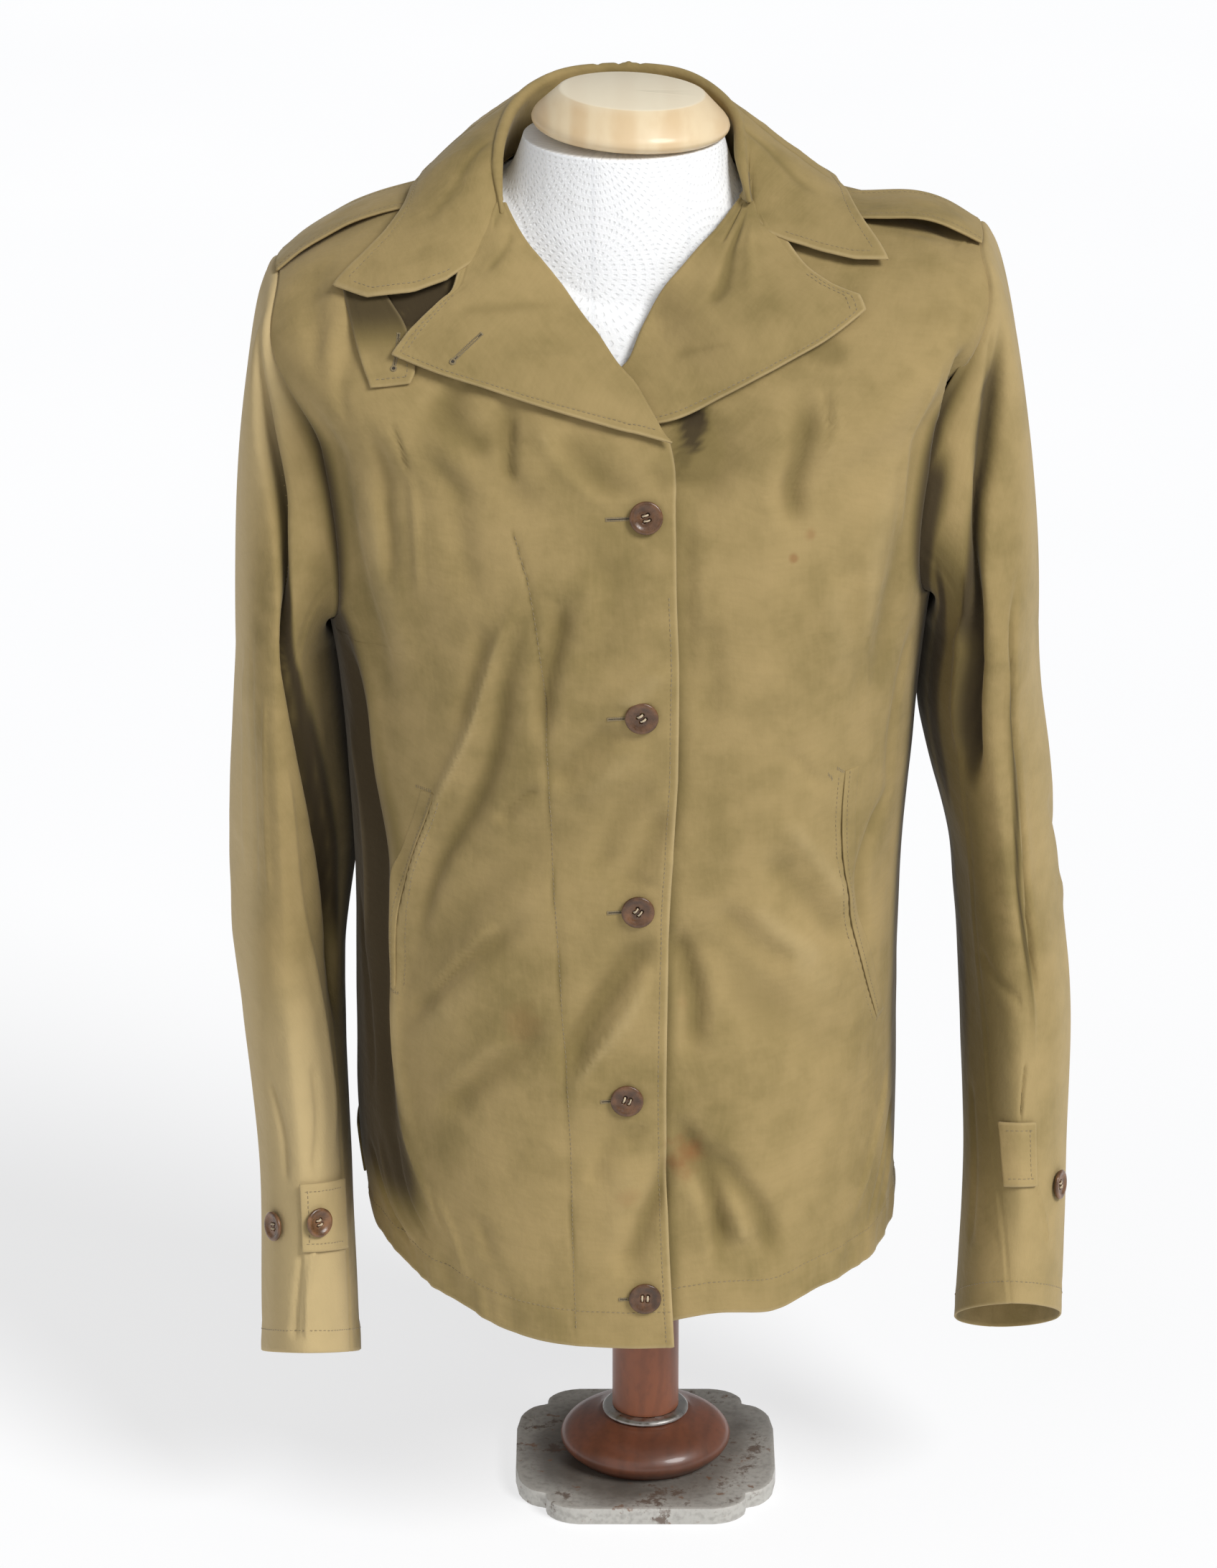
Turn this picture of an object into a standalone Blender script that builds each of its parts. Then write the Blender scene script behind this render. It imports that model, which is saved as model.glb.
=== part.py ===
"""Field jacket worn by a tabletop dress form.

The jacket is cut as a tailor cuts it: two fronts that overlap at the closure, a back, two-piece sleeves,
a fall collar, lapels, straps and tabs. Every piece is a wall of cloth. The body of the jacket is one
surface, read by an angle round the wearer and a level from hem to neck, and all body pieces are cut
from it. Frame: origin at the middle of the base plate's underside, +Z up, the front faces -Y.
Right and left are the wearer's. Sizes are in millimetres until a mesh is made.
"""

import bmesh
import bpy
import numpy as np
from mathutils import Matrix, Vector

MM = 0.001

# Driving dimensions
WALL = 1.6              # cloth with its seam allowances
SEAM_GAP = 0.3          # between pieces at a seam
REST_GAP = 0.8          # under a piece that lies on another
COLLAR_WALL = 1.8
ARMHOLE_LEVEL = 0.82    # middle of the armhole, and half its height in levels
ARMHOLE_REACH = 0.12
ARMHOLE_FRONT = 30.0    # degrees that the armhole cuts into the front and the back
ARMHOLE_BACK = 27.0
ARMHOLE_SQUARE = 0.6
RING_STEP = 15.0        # degrees between the sleeve's lengthwise rows
BUTTON_RADIUS = 8.6
CUFF_BUTTON_RADIUS = 8.0
BUTTON_LIFT = 0.05      # over the cloth's smooth surface
PLATE_THICK = 10.0
PLATE_BREAK = 0.8
POLE_RADIUS = 18.5
TURNED_STEPS = 28
FORM_BOTTOM = 262.0     # underside of the dress form


def table(columns, *rows):
    """A table as one array for each named column."""
    return {name: np.array([row[i] for row in rows], float) for i, name in enumerate(columns.split())}


# The body's sections: heights at the front, both sides and the back, then sizes across and deep.
SECTIONS = table(
    "level z_front z_right z_left z_back half_width front back square centre",
    (0.00, 146, 164, 167, 158, 143, 146, 118, 0.90, -7),
    (0.12, 212, 218, 224, 218, 147, 144, 114, 0.90, -10),
    (0.26, 290, 289, 298, 293, 147, 141, 108, 0.88, -11),
    (0.44, 390, 382, 396, 391, 148, 134, 101, 0.86, -10),
    (0.58, 466, 456, 471, 470, 153, 135, 106, 0.85, -9),
    (0.70, 530, 518, 534, 540, 160, 137, 114, 0.84, -9),
    (0.78, 566, 563, 581, 585, 169, 135, 118, 0.84, -10),
    (0.86, 606, 628, 646, 635, 178, 128, 117, 0.84, -10),
    (0.94, 648, 704, 721, 690, 182, 115, 106, 0.84, -10),
    (0.97, 674, 733, 732, 726, 130, 97, 89, 0.88, -11),
    (1.00, 702, 750, 747, 757, 68, 70, 64, 0.95, -13),
    (1.03, 722, 762, 758, 774, 60, 61, 57, 0.95, -13),
)

# The largest folds of the body: a line on the cloth, its half width and its height in mm.
BODY_FOLDS = table(
    "angle_0 level_0 angle_1 level_1 width depth",
    (-7, 0.546, -54, 0.332, 13, -3.2),
    (-12, 0.490, -50, 0.275, 15, 2.2),
    (-19, 0.660, -33, 0.492, 12, -2.2),
    (-28, 0.945, -27, 0.870, 9, -2.6),
    (-17, 0.945, -14, 0.860, 9, -2.8),
    (-55, 0.900, -52, 0.640, 12, -4.0),
    (-47, 0.880, -44, 0.660, 12, 2.6),
    (9, 0.430, 34, 0.320, 13, -3.0),
    (12, 0.370, 51, 0.262, 14, -2.6),
    (20, 0.420, 46, 0.330, 13, 2.0),
    (10, 0.945, 8, 0.860, 9, -3.6),
    (55, 0.900, 52, 0.640, 12, -4.0),
    (46, 0.880, 43, 0.640, 12, 2.4),
    (-128, 0.880, -132, 0.520, 15, -3.4),
    (-146, 0.840, -150, 0.400, 17, 2.6),
    (129, 0.880, 134, 0.500, 15, -3.6),
    (148, 0.860, 150, 0.440, 17, 2.4),
    (118, 0.300, 158, 0.200, 14, -2.4),
    (-122, 0.330, -160, 0.230, 14, -2.2),
)
ANGLE_MM = 2.5          # cloth length of one degree and of one level
LEVEL_MM = 590.0

# Inner edges of the fronts: where each row begins. Rows are numbered by level, evenly along the armhole.
EDGE_RIGHT = table(
    "row angle level",
    (0.000, 6.8, 0.000), (0.120, 6.5, 0.120), (0.260, 6.0, 0.260), (0.440, 5.8, 0.440),
    (0.580, 6.4, 0.580), (0.700, 6.0, 0.700), (0.820, 5.0, 0.868), (0.840, 4.4, 0.903),
    (0.860, 4.0, 0.934), (0.880, 1.8, 0.956), (0.900, -2.0, 0.975), (0.920, -9.0, 0.985),
    (0.940, -15.0, 0.991), (0.955, -27.0, 0.9975), (0.970, -40.0, 0.999), (0.985, -53.0, 0.998),
    (1.000, -66.0, 1.000),
)
EDGE_LEFT = table(
    "row angle level",
    (0.000, -10.0, 0.000), (0.700, -10.0, 0.700), (0.820, -10.0, 0.868), (0.840, -10.0, 0.905),
    (0.860, -9.0, 0.938), (0.880, -4.0, 0.962), (0.900, 0.0, 0.975), (0.920, 4.0, 0.987),
    (0.940, 11.0, 0.996), (0.955, 23.0, 1.005), (0.970, 36.0, 1.010), (0.985, 49.0, 1.0085),
    (1.000, 61.0, 1.006),
)
# How much higher than level 0 the hem is cut, for each half of the body.
HEM_RIGHT = table(
    "angle level",
    (-180, 0.004), (-150, 0.006), (-120, 0.011), (-90, 0.018), (-73.5, 0.021), (-51.5, 0.017),
    (-35, 0.010), (-27, 0.003), (-16, 0.000), (12, 0.000),
)
HEM_LEFT = table(
    "angle level",
    (-16, 0.014), (0, 0.021), (16.5, 0.030), (29.5, 0.018), (40, 0.020), (54, 0.012), (80, 0.002),
    (110, 0.002), (180, 0.004),
)
HEM_BLEND = 0.14        # the level above which the cloth doesn't follow the hem
LOWER_ROWS = (0.0, 0.035, 0.08, 0.13, 0.18, 0.23, 0.28, 0.33, 0.38, 0.43, 0.48, 0.535, 0.59, 0.645)
SHOULDER_ROWS = (0.955, 0.970, 0.985, 1.0)
FRONT_COLUMNS = 13
BACK_COLUMNS = 20
OVERLAP_BLEND = (9.0, 24.0)   # degrees over which the under front comes out to the surface
UNDER_DEPTH = 4.0             # how much deeper it lies behind the lapels

# Lapels, from the break of the roll line to the gorge: the roll line, the outline, and the outline's
# height over the front.
LAPEL_RIGHT = table(
    "roll_angle roll_level angle level lift",
    (3.6, 0.938, 4.2, 0.933, 1.4),
    (0.8, 0.963, -3.0, 0.944, 2.2),
    (-2.5, 0.975, -12.0, 0.950, 2.8),
    (-7.0, 0.984, -22.5, 0.952, 3.2),
    (-12.0, 0.989, -33.0, 0.950, 3.8),
    (-19.0, 0.994, -41.2, 0.948, 4.4),
    (-27.0, 0.998, -42.8, 0.9575, 4.2),
    (-37.0, 1.000, -44.2, 0.9690, 3.8),
    (-48.0, 1.000, -46.4, 0.9805, 3.4),
    (-60.5, 1.000, -58.5, 0.9957, 3.0),
)
LAPEL_LEFT = table(
    "roll_angle roll_level angle level lift",
    (-6.5, 0.953, -4.5, 0.944, 1.4),
    (-2.3, 0.968, 4.0, 0.947, 1.4),
    (0.5, 0.977, 14.0, 0.955, 1.8),
    (4.0, 0.987, 27.5, 0.958, 2.6),
    (8.5, 0.994, 38.0, 0.9575, 3.4),
    (14.5, 1.000, 48.2, 0.9570, 4.2),
    (24.0, 1.006, 51.0, 0.9615, 4.0),
    (38.0, 1.010, 51.0, 0.9720, 3.8),
    (51.0, 1.008, 55.4, 0.9862, 3.4),
    (64.5, 1.003, 61.0, 0.9955, 3.0),
)
LAPEL_COLUMNS = 7
LAPEL_BOW = 1.6         # height of its bow between roll and outline

# The collar, by stations from its right front end round the back to its left front end (in degrees):
# where its seam sits on the neck ring, the top of its roll, and its edge on the jacket.
COLLAR = table(
    "station seam seam_level roll_x roll_y roll_z edge_angle edge_level edge_lift bulge",
    (-68, -70, 1.0000, -75.5, -37.5, 744, -64.0, 0.9520, 5.0, 4.0),
    (-82, -84, 1.0000, -78, -20, 763, -71.5, 0.9710, 5.0, 5.0),
    (-105, -105, 1.0000, -73, 12, 780, -95.0, 0.9800, 4.5, 3.5),
    (-140, -140, 1.0000, -52, 48, 791, -135.0, 0.9725, 4.5, 1.0),
    (-180, -180, 1.0000, -14, 61, 793, -180.0, 0.9630, 4.0, 1.5),
    (-220, -220, 1.0000, 24, 48, 791, -225.0, 0.9705, 4.5, -1.0),
    (-255, -255, 1.0010, 46, 12, 779, -261.0, 0.9780, 4.5, 0.0),
    (-278, -276, 1.0025, 48, -18, 764, -285.0, 0.9725, 5.0, 3.0),
    (-290, -288, 1.0050, 51.5, -36, 749.5, -296.2, 0.9620, 5.0, 4.0),
)
# Its two front ends, from the roll along the gorge seam and the lower edge to the collar's point.
COLLAR_END_RIGHT = table(
    "share angle level",
    (0.00, -66.5, 1.000), (0.15, -64.8, 0.9972), (0.30, -56.8, 0.9910), (0.42, -49.6, 0.9830),
    (0.56, -48.4, 0.9750), (0.70, -50.3, 0.9665), (0.85, -56.0, 0.9565), (1.00, -64.0, 0.9520),
)
COLLAR_END_LEFT = table(
    "share angle level",
    (0.00, 70.5, 1.000), (0.15, 67.5, 0.9975), (0.30, 62.8, 0.9950), (0.42, 59.0, 0.9900),
    (0.56, 58.6, 0.9850), (0.70, 59.2, 0.9770), (0.85, 60.6, 0.9695), (1.00, 63.8, 0.9620),
)
COLLAR_STATIONS = 27
COLLAR_END_SHARE = 0.13
FALL_SHARES = (0.15, 0.30, 0.42, 0.56, 0.70, 0.85, 1.0)
ROLL_RADIUS = 2.4
COLLAR_RISE = 1.2       # of its lower edge over the neck ring
COLLAR_END_LIFT = 5.0

# Sleeves: sections from the armhole's lower end to the cuff, in shares of that length.
SLEEVE_RIGHT = table(
    "share x y z half_x front back lean swing",
    (0.00, -195, -4, 500, 24, 74, 66, 0, 0),
    (0.25, -195, 0, 415, 28, 68, 64, 2, 14),
    (0.45, -194, 2, 345, 30, 63, 60, 6, 18),
    (0.62, -192, -6, 284, 28, 60, 58, 11, 22),
    (0.82, -186, -28, 194, 25, 58, 57, 18, 26),
    (1.00, -184, -52, 98, 27, 56, 56, 25, 26),
)
SLEEVE_LEFT = table(
    "share x y z half_x front back lean swing",
    (0.00, 180, -4, 510, 27.5, 74, 66, 0, 0),
    (0.10, 180.5, -2, 477, 29, 71, 65, 1, 6),
    (0.21, 184.5, 0, 441, 29, 68, 64, 2, 12),
    (0.42, 193, 2, 366, 28, 63, 60, 6, 15),
    (0.60, 200, -5, 298, 30, 60, 58, 12, 5),
    (0.80, 201, -26, 208, 28, 58, 57, 20, -8),
    (1.00, 198, -52, 119, 29, 56, 56, 33, -30),
)
SLEEVE_FOLDS = table(
    "angle share_0 share_1 width depth",
    (52, 0.05, 0.50, 15, -3.0),
    (18, 0.10, 0.62, 17, 1.8),
    (95, 0.10, 0.55, 13, 2.0),
    (-50, 0.10, 0.55, 16, -2.6),
    (150, 0.30, 0.75, 17, -2.0),
    (70, 0.55, 0.95, 15, -1.6),
    (215, 0.35, 0.80, 16, 1.6),
)
FOLD_FADE = 0.3         # share of a fold's length over which it fades at each end
CAP_ROWS = (0.0, 0.10, 0.22, 0.36, 0.52, 0.68, 0.84)
ARM_ROWS = (0.0, 0.10, 0.20, 0.30, 0.40, 0.50, 0.60, 0.70, 0.80, 0.90, 1.0)
SLEEVE_SQUARE_X = 1.12
SLEEVE_SQUARE_Y = 0.96
FRONT_SEAM = 120.0
BACK_SEAM = 255.0
SEAM_SPREAD = 60.0      # degrees of the sleeve that turn with the front seam
SEAM_TURN = 0.17        # degrees of the sleeve left open on each side of a seam

# The throat tab from under the collar down to its free end: its two long edges.
THROAT_TAB = table(
    "outer_angle outer_level inner_angle inner_level",
    (-65.0, 0.9545, -60.5, 0.9635),
    (-59.5, 0.9520, -54.8, 0.9610),
    (-53.0, 0.9480, -46.0, 0.9583),
    (-46.5, 0.9420, -39.5, 0.9530),
    (-42.0, 0.9362, -36.0, 0.9475),
    (-40.2, 0.9330, -34.8, 0.9425),
)

# Slash pockets: the opening's line, from its upper end down.
POCKET_RIGHT = table(
    "angle level",
    (-38.5, 0.556), (-41.0, 0.530), (-44.5, 0.500), (-48.5, 0.462), (-51.2, 0.425),
    (-52.6, 0.385), (-53.5, 0.336),
)
POCKET_LEFT = table(
    "angle level",
    (44.0, 0.562), (44.2, 0.520), (45.5, 0.475), (48.0, 0.430), (52.0, 0.380),
    (57.5, 0.328), (64.0, 0.275),
)
WELT_WIDTH = 4.4        # degrees
WELT_WALL = 1.2
TAB_LIFT = 0.5          # under a tab or strap that lies on its panel
TAB_WALL = 1.5
CUFF_TAB_LIFT = 1.1
STRAP_LEVELS = (0.9395, 0.9835)
STRAP_RIGHT = (16.0, -25.0)    # their front and back edges, ahead of the shoulder's widest point
STRAP_LEFT = (22.0, -20.0)
SIDE_TAB_LEVELS = (0.055, 0.117)
SIDE_TAB_LENGTH = 26.0  # degrees

# A button from its middle over the raised rim to its back, in shares of the radius.
BUTTON_PROFILE = table("share height", (0, 1.7), (0.55, 1.8), (0.80, 2.8), (1, 2.1), (0.93, 0.5), (0, 0))
FRONT_BUTTONS = table("angle level", (1.5, 0.862), (1.0, 0.646), (1.0, 0.446), (0.0, 0.258), (2.0, 0.054))
# Two on the right sleeve, the first on its tab, and one on the left; the last column is the lift.
CUFF_BUTTONS = table(
    "side number turn share lift",
    (-1, 1, 86.0, 0.865, 2.5),
    (-1, 2, 44.0, 0.870, 0.5),
    (1, 1, 40.0, 0.840, 0.1),
)

# The form under the jacket: how far its torso lies inside the jacket's outer face.
FORM_INSET = table(
    "level inset side_extra front_extra",
    (0.22, 26, 4, 2),
    (0.44, 30, 6, 3),
    (0.58, 22, 8, 3),
    (0.70, 13, 12, 4),
    (0.80, 9, 16, 5),
    (0.88, 6, 18, 8),
    (0.94, 3.6, 16, 9),
    (0.97, 3.4, 0, 9),
    (1.00, 3.0, 0, 8),
)
FORM_ROWS = (0.22, 0.32, 0.44, 0.54, 0.64, 0.74, 0.82, 0.88, 0.92, 0.94, 0.955, 0.97, 0.985, 1.0)
FORM_STEP = 12.0        # degrees
NECK_CENTRE = (-13.0, 2.0)
NECK_HALF = (52.0, 50.0)
NECK_TOP = 772.0
CAP_CENTRE = (-9.5, 1.0)
CAP_LEAN = 3.0          # degrees, its left side lower
CAP_GAP = 3.0           # from the neck's top to the cap's middle, so that the leaning cap stays clear
CAP_PROFILE = table(
    "radius height",
    (0, 20.5), (38, 20.5), (50.3, 8), (51.5, 5), (50.5, 2), (47.5, 0), (0, 0),
)
FLANGE_PROFILE = table(
    "radius height",
    (0, 24), (25, 24), (29, 21), (33.5, 19), (40.5, 15), (46, 9), (47.5, 5), (47, 0), (0, 0),
)
RING_PROFILE = table("radius height", (0, 3.6), (21.9, 3.6), (23.9, 2.2), (23.9, 1.2), (22.7, 0), (0, 0))


# One corner of the base plate, from the end of its front side to the end of its right side.
PLATE_CORNER = table(
    "x y",
    (37.0, 72.5), (46.0, 70.0), (52.5, 64.5), (55.3, 57.5), (55.3, 53.0), (60.0, 52.0), (66.0, 47.0),
    (70.5, 38.0), (72.5, 24.0),
)

# ---------------------------------------------------------------- curves and surfaces


def curve(xs, ys, x):
    """Smooth curve through the points (xs, ys), read at x."""
    x = np.clip(x, xs[0], xs[-1])
    i = np.clip(np.searchsorted(xs, x, side="right") - 1, 0, len(xs) - 2)
    slope = np.gradient(ys, xs)
    step = xs[i + 1] - xs[i]
    t = (x - xs[i]) / step
    start = ys[i] * (1 + 2 * t) * (1 - t) ** 2 + slope[i] * step * t * (1 - t) ** 2
    end = ys[i + 1] * t * t * (3 - 2 * t) - slope[i + 1] * step * t * t * (1 - t)
    return start + end


def ease(low, high, x):
    """0 below low, 1 above high, smooth between."""
    t = np.clip((x - low) / (high - low), 0.0, 1.0)
    return t * t * (3 - 2 * t)


def signed_power(value, exponent):
    return np.sign(value) * np.abs(value) ** exponent


def unit(vectors):
    return vectors / np.linalg.norm(vectors, axis=-1, keepdims=True)


def section(column, level):
    return curve(SECTIONS["level"], SECTIONS[column], level)


def smooth_body(angle, level):
    """The body's smooth surface: angle 0 is the front, +90 the wearer's left side."""
    across = np.sin(np.radians(angle))
    ahead = np.cos(np.radians(angle))
    square = section("square", level)
    x = section("centre", level) + section("half_width", level) * signed_power(across, square)
    depth = np.where(ahead > 0, section("front", level), section("back", level))
    y = -depth * signed_power(ahead, square)
    z_side = np.where(across > 0, section("z_left", level), section("z_right", level))
    z_middle = np.where(ahead > 0, section("z_front", level), section("z_back", level))
    z = z_side + (z_middle - z_side) * ahead * ahead
    return np.stack([x, y, z], -1)


def body_normal(angle, level):
    high = np.clip(level + 0.004, 0, SECTIONS["level"][-1])
    low = np.clip(level - 0.004, 0, SECTIONS["level"][-1])
    around = smooth_body(angle + 0.5, level) - smooth_body(angle - 0.5, level)
    upward = smooth_body(angle, high) - smooth_body(angle, low)
    return unit(np.cross(around, upward))


def body_relief(angle, level):
    """Height of the body's folds over the smooth surface."""
    angle = (angle + 180.0) % 360.0 - 180.0
    relief = np.zeros(np.broadcast(angle, level).shape)
    for angle_0, level_0, angle_1, level_1, width, depth in zip(*BODY_FOLDS.values()):
        along = np.array([(angle_1 - angle_0) * ANGLE_MM, (level_1 - level_0) * LEVEL_MM])
        length = np.hypot(*along)
        x = (angle - angle_0) * ANGLE_MM
        y = (level - level_0) * LEVEL_MM
        share = (x * along[0] + y * along[1]) / length ** 2
        across = (x * along[1] - y * along[0]) / length
        taper = ease(-0.15, 0.25, share) * (1 - ease(0.7, 1.15, share))
        relief = relief + depth * taper * np.exp(-((across / width) ** 2))
    return relief


def body(angle, level, out=0.0):
    """Point of the jacket's body, out from its outer face."""
    angle, level, out = np.broadcast_arrays(np.asarray(angle, float), np.asarray(level, float), out)
    height = body_relief(angle, level) + out
    return smooth_body(angle, level) + body_normal(angle, level) * height[..., None]


def angle_at_depth(level, depth, side):
    """Angle near a side (+1 left, -1 right) where the section lies this far ahead of its widest point."""
    reach = np.where(depth > 0, section("front", level), section("back", level))
    lean = np.degrees(np.arcsin((np.abs(depth) / reach) ** (1 / section("square", level))))
    return side * (90.0 - np.sign(depth) * lean)


def armhole(turn, side, scale=1.0):
    """Angle and level on the armhole's edge; turn 0 is its top, 90 its front, 180 its lower end."""
    ahead = np.sin(np.radians(turn))
    reach = np.where(ahead > 0, ARMHOLE_FRONT, ARMHOLE_BACK) * scale
    angle = side * (90.0 - reach * signed_power(ahead, ARMHOLE_SQUARE))
    return angle, ARMHOLE_LEVEL + ARMHOLE_REACH * scale * np.cos(np.radians(turn))


def under_front(angle, level):
    """How far the left front lies inside the jacket's outer face, where the right front covers it."""
    covered = 1 - ease(*OVERLAP_BLEND, angle)
    at_lapel = ease(0.85, 0.92, level)
    return -covered * (WALL + 1.5 * REST_GAP + UNDER_DEPTH * at_lapel)


def sleeve(table_, side, turn, share, out=0.0):
    """Point of a sleeve below the armhole. Turn 0 is its outer side, 90 its front."""
    turn, share, out = np.broadcast_arrays(np.asarray(turn, float), np.asarray(share, float), out)
    part = {name: curve(table_["share"], table_[name], share) for name in table_}
    turn = turn + part["swing"] * np.exp(-(((turn - FRONT_SEAM) / SEAM_SPREAD) ** 2))
    relief = out.astype(float)
    for at, share_0, share_1, width, depth in zip(*SLEEVE_FOLDS.values()):
        away = (turn - at + 180.0) % 360.0 - 180.0
        fade = FOLD_FADE * (share_1 - share_0)
        taper = ease(share_0, share_0 + fade, share) * (1 - ease(share_1 - fade, share_1, share))
        relief = relief + depth * taper * np.exp(-((away / width) ** 2))
    across = np.cos(np.radians(turn))
    ahead = np.sin(np.radians(turn))
    depth = np.where(ahead > 0, part["front"], part["back"]) + relief
    x = part["x"] + side * (part["half_x"] + relief) * signed_power(across, SLEEVE_SQUARE_X)
    forward = depth * signed_power(ahead, SLEEVE_SQUARE_Y)
    lean = np.radians(part["lean"])
    y = part["y"] - forward * np.cos(lean)
    z = part["z"] + forward * np.sin(lean)
    return np.stack([x, y, z], -1)


def sleeve_cap(table_, side, turn, share):
    """Point of a sleeve between the armhole's edge (share 0) and its first full section (share 1)."""
    turn, share = np.broadcast_arrays(np.asarray(turn, float), np.asarray(share, float))
    angle, level = armhole(turn, side, 0.993)
    start = body(angle, level, -0.5 * WALL)
    outward = np.array([side, 0.0, 0.0])
    leave = unit(0.6 * body_normal(angle, level) + 0.4 * outward)
    end = sleeve(table_, side, turn, 0.0)
    top = ((1 + np.cos(np.radians(turn))) / 2)[..., None]
    first = start + leave * (7.0 + 9.0 * top)
    last = end + np.array([0.0, 0.0, 1.0]) * (6.0 + 95.0 * top)
    t = share[..., None]
    return start * (1 - t) ** 3 + 3 * first * t * (1 - t) ** 2 + 3 * last * t * t * (1 - t) + end * t ** 3


# ---------------------------------------------------------------- meshes and materials


def material(name, colour, roughness, metallic=0.0):
    made = bpy.data.materials.new(name)
    made.use_nodes = True
    shader = made.node_tree.nodes["Principled BSDF"]
    shader.inputs["Base Color"].default_value = (*colour, 1.0)
    shader.inputs["Roughness"].default_value = roughness
    shader.inputs["Metallic"].default_value = metallic
    return made


def add(mesh, name, look, collection):
    """A named object with its own material."""
    thing = bpy.data.objects.new(name, mesh)
    collection.objects.link(thing)
    mesh.materials.clear()
    mesh.materials.append(material(name, *look))
    return thing


def mesh_from(name, points, faces, smooth=True):
    mesh = bpy.data.meshes.new(name)
    mesh.from_pydata([tuple(p) for p in points * MM], [], faces)
    tool = bmesh.new()
    tool.from_mesh(mesh)
    bmesh.ops.recalc_face_normals(tool, faces=tool.faces)
    tool.to_mesh(mesh)
    tool.free()
    if smooth:
        mesh.shade_smooth()
        mesh.set_sharp_from_angle(angle=0.9)
    return mesh


def wall_mesh(name, outer, inner):
    """A closed wall between two grids of points. Both are split along the same, shorter diagonals."""
    rows, columns = outer.shape[:2]
    points = np.concatenate([outer.reshape(-1, 3), inner.reshape(-1, 3)])
    index = np.arange(rows * columns).reshape(rows, columns)
    second = rows * columns
    falling = np.linalg.norm(outer[:-1, :-1] - outer[1:, 1:], axis=-1)
    rising = np.linalg.norm(outer[:-1, 1:] - outer[1:, :-1], axis=-1)
    faces = []
    for i in range(rows - 1):
        for j in range(columns - 1):
            a, b, c, d = (int(index[at]) for at in ((i, j), (i, j + 1), (i + 1, j + 1), (i + 1, j)))
            halves = ((a, b, c), (a, c, d)) if falling[i, j] <= rising[i, j] else ((a, b, d), (b, c, d))
            for p, q, r in halves:
                faces += [(p, q, r), (second + p, second + r, second + q)]
    edge = [*index[0, :-1], *index[:-1, -1], *index[-1, :0:-1], *index[:0:-1, 0]]
    edge = [int(corner) for corner in edge]
    for a, b in zip(edge, edge[1:] + edge[:1]):
        faces.append((b, a, second + a, second + b))
    return mesh_from(name, points, faces)


def grid_normals(grid):
    """Normals of a grid of points, from its neighbours."""
    return unit(np.cross(np.gradient(grid, axis=1), np.gradient(grid, axis=0)))


def turned_mesh(name, profile, steps):
    """Closed turned solid: its profile runs down the outer side from top to bottom, ends on the axis."""
    mesh = bpy.data.meshes.new(name)
    points = [(radius * MM, 0.0, height * MM) for radius, height in profile]
    mesh.from_pydata(points, [(i, i + 1) for i in range(len(points) - 1)], [])
    guide = bpy.data.objects.new(name, mesh)
    bpy.context.scene.collection.objects.link(guide)
    screw = guide.modifiers.new("turn", "SCREW")
    screw.steps = screw.render_steps = steps
    screw.use_merge_vertices = True
    screw.merge_threshold = 0.00001
    solid = bpy.data.meshes.new_from_object(guide.evaluated_get(bpy.context.evaluated_depsgraph_get()))
    bpy.data.objects.remove(guide)
    solid.shade_smooth()
    solid.set_sharp_from_angle(angle=0.7)
    return solid


# ---------------------------------------------------------------- the jacket's pieces


def panel_rows():
    """Rows of the fronts and the back: level at the outer edge, even level, and the armhole's turn."""
    rows = [(level, level, None) for level in LOWER_ROWS]
    for turn in np.arange(180.0, -1.0, -RING_STEP):
        level = float(armhole(turn, 1)[1])
        even = ARMHOLE_LEVEL + ARMHOLE_REACH * (1 - turn / 90.0)
        rows.append((level, even, turn))
    rows += [(level, level, None) for level in SHOULDER_ROWS]
    return rows


def outer_edge(level, turn, side, ahead):
    """Angle of a front's (ahead 1) or the back's (ahead -1) edge at this row."""
    seam = angle_at_depth(level, ahead * SEAM_GAP / 2, side)
    if turn is None or turn in (0.0, 180.0):
        return float(seam)
    return float(armhole(ahead * turn, side)[0])


def hem_cut(angles, levels):
    """Levels with the hem cut along its curve; nothing changes above the blend."""
    turned = (angles + 180.0) % 360.0 - 180.0
    right = curve(HEM_RIGHT["angle"], HEM_RIGHT["level"], turned)
    left = curve(HEM_LEFT["angle"], HEM_LEFT["level"], turned)
    return right, left, 1 - ease(0.0, HEM_BLEND, levels)


def front_panel(name, side, edge, look, collection):
    """One front: every row runs from its inner edge to the side seam, armhole or shoulder seam."""
    shares = np.linspace(0.0, 1.0, FRONT_COLUMNS)
    angles, levels = [], []
    for level, even, turn in panel_rows():
        inner_angle = np.interp(even, edge["row"], edge["angle"])
        inner_level = np.interp(even, edge["row"], edge["level"])
        angles.append(inner_angle + (outer_edge(level, turn, side, 1) - inner_angle) * shares)
        levels.append(inner_level + (level - inner_level) * shares)
    angles, levels = np.array(angles), np.array(levels)
    right, left, weight = hem_cut(angles, levels)
    levels = levels + (left if side > 0 else right) * weight
    out = under_front(angles, levels) if side > 0 else np.zeros(angles.shape)
    mesh = wall_mesh(name, body(angles, levels, out), body(angles, levels, out - WALL))
    return add(mesh, name, look, collection)


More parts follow.
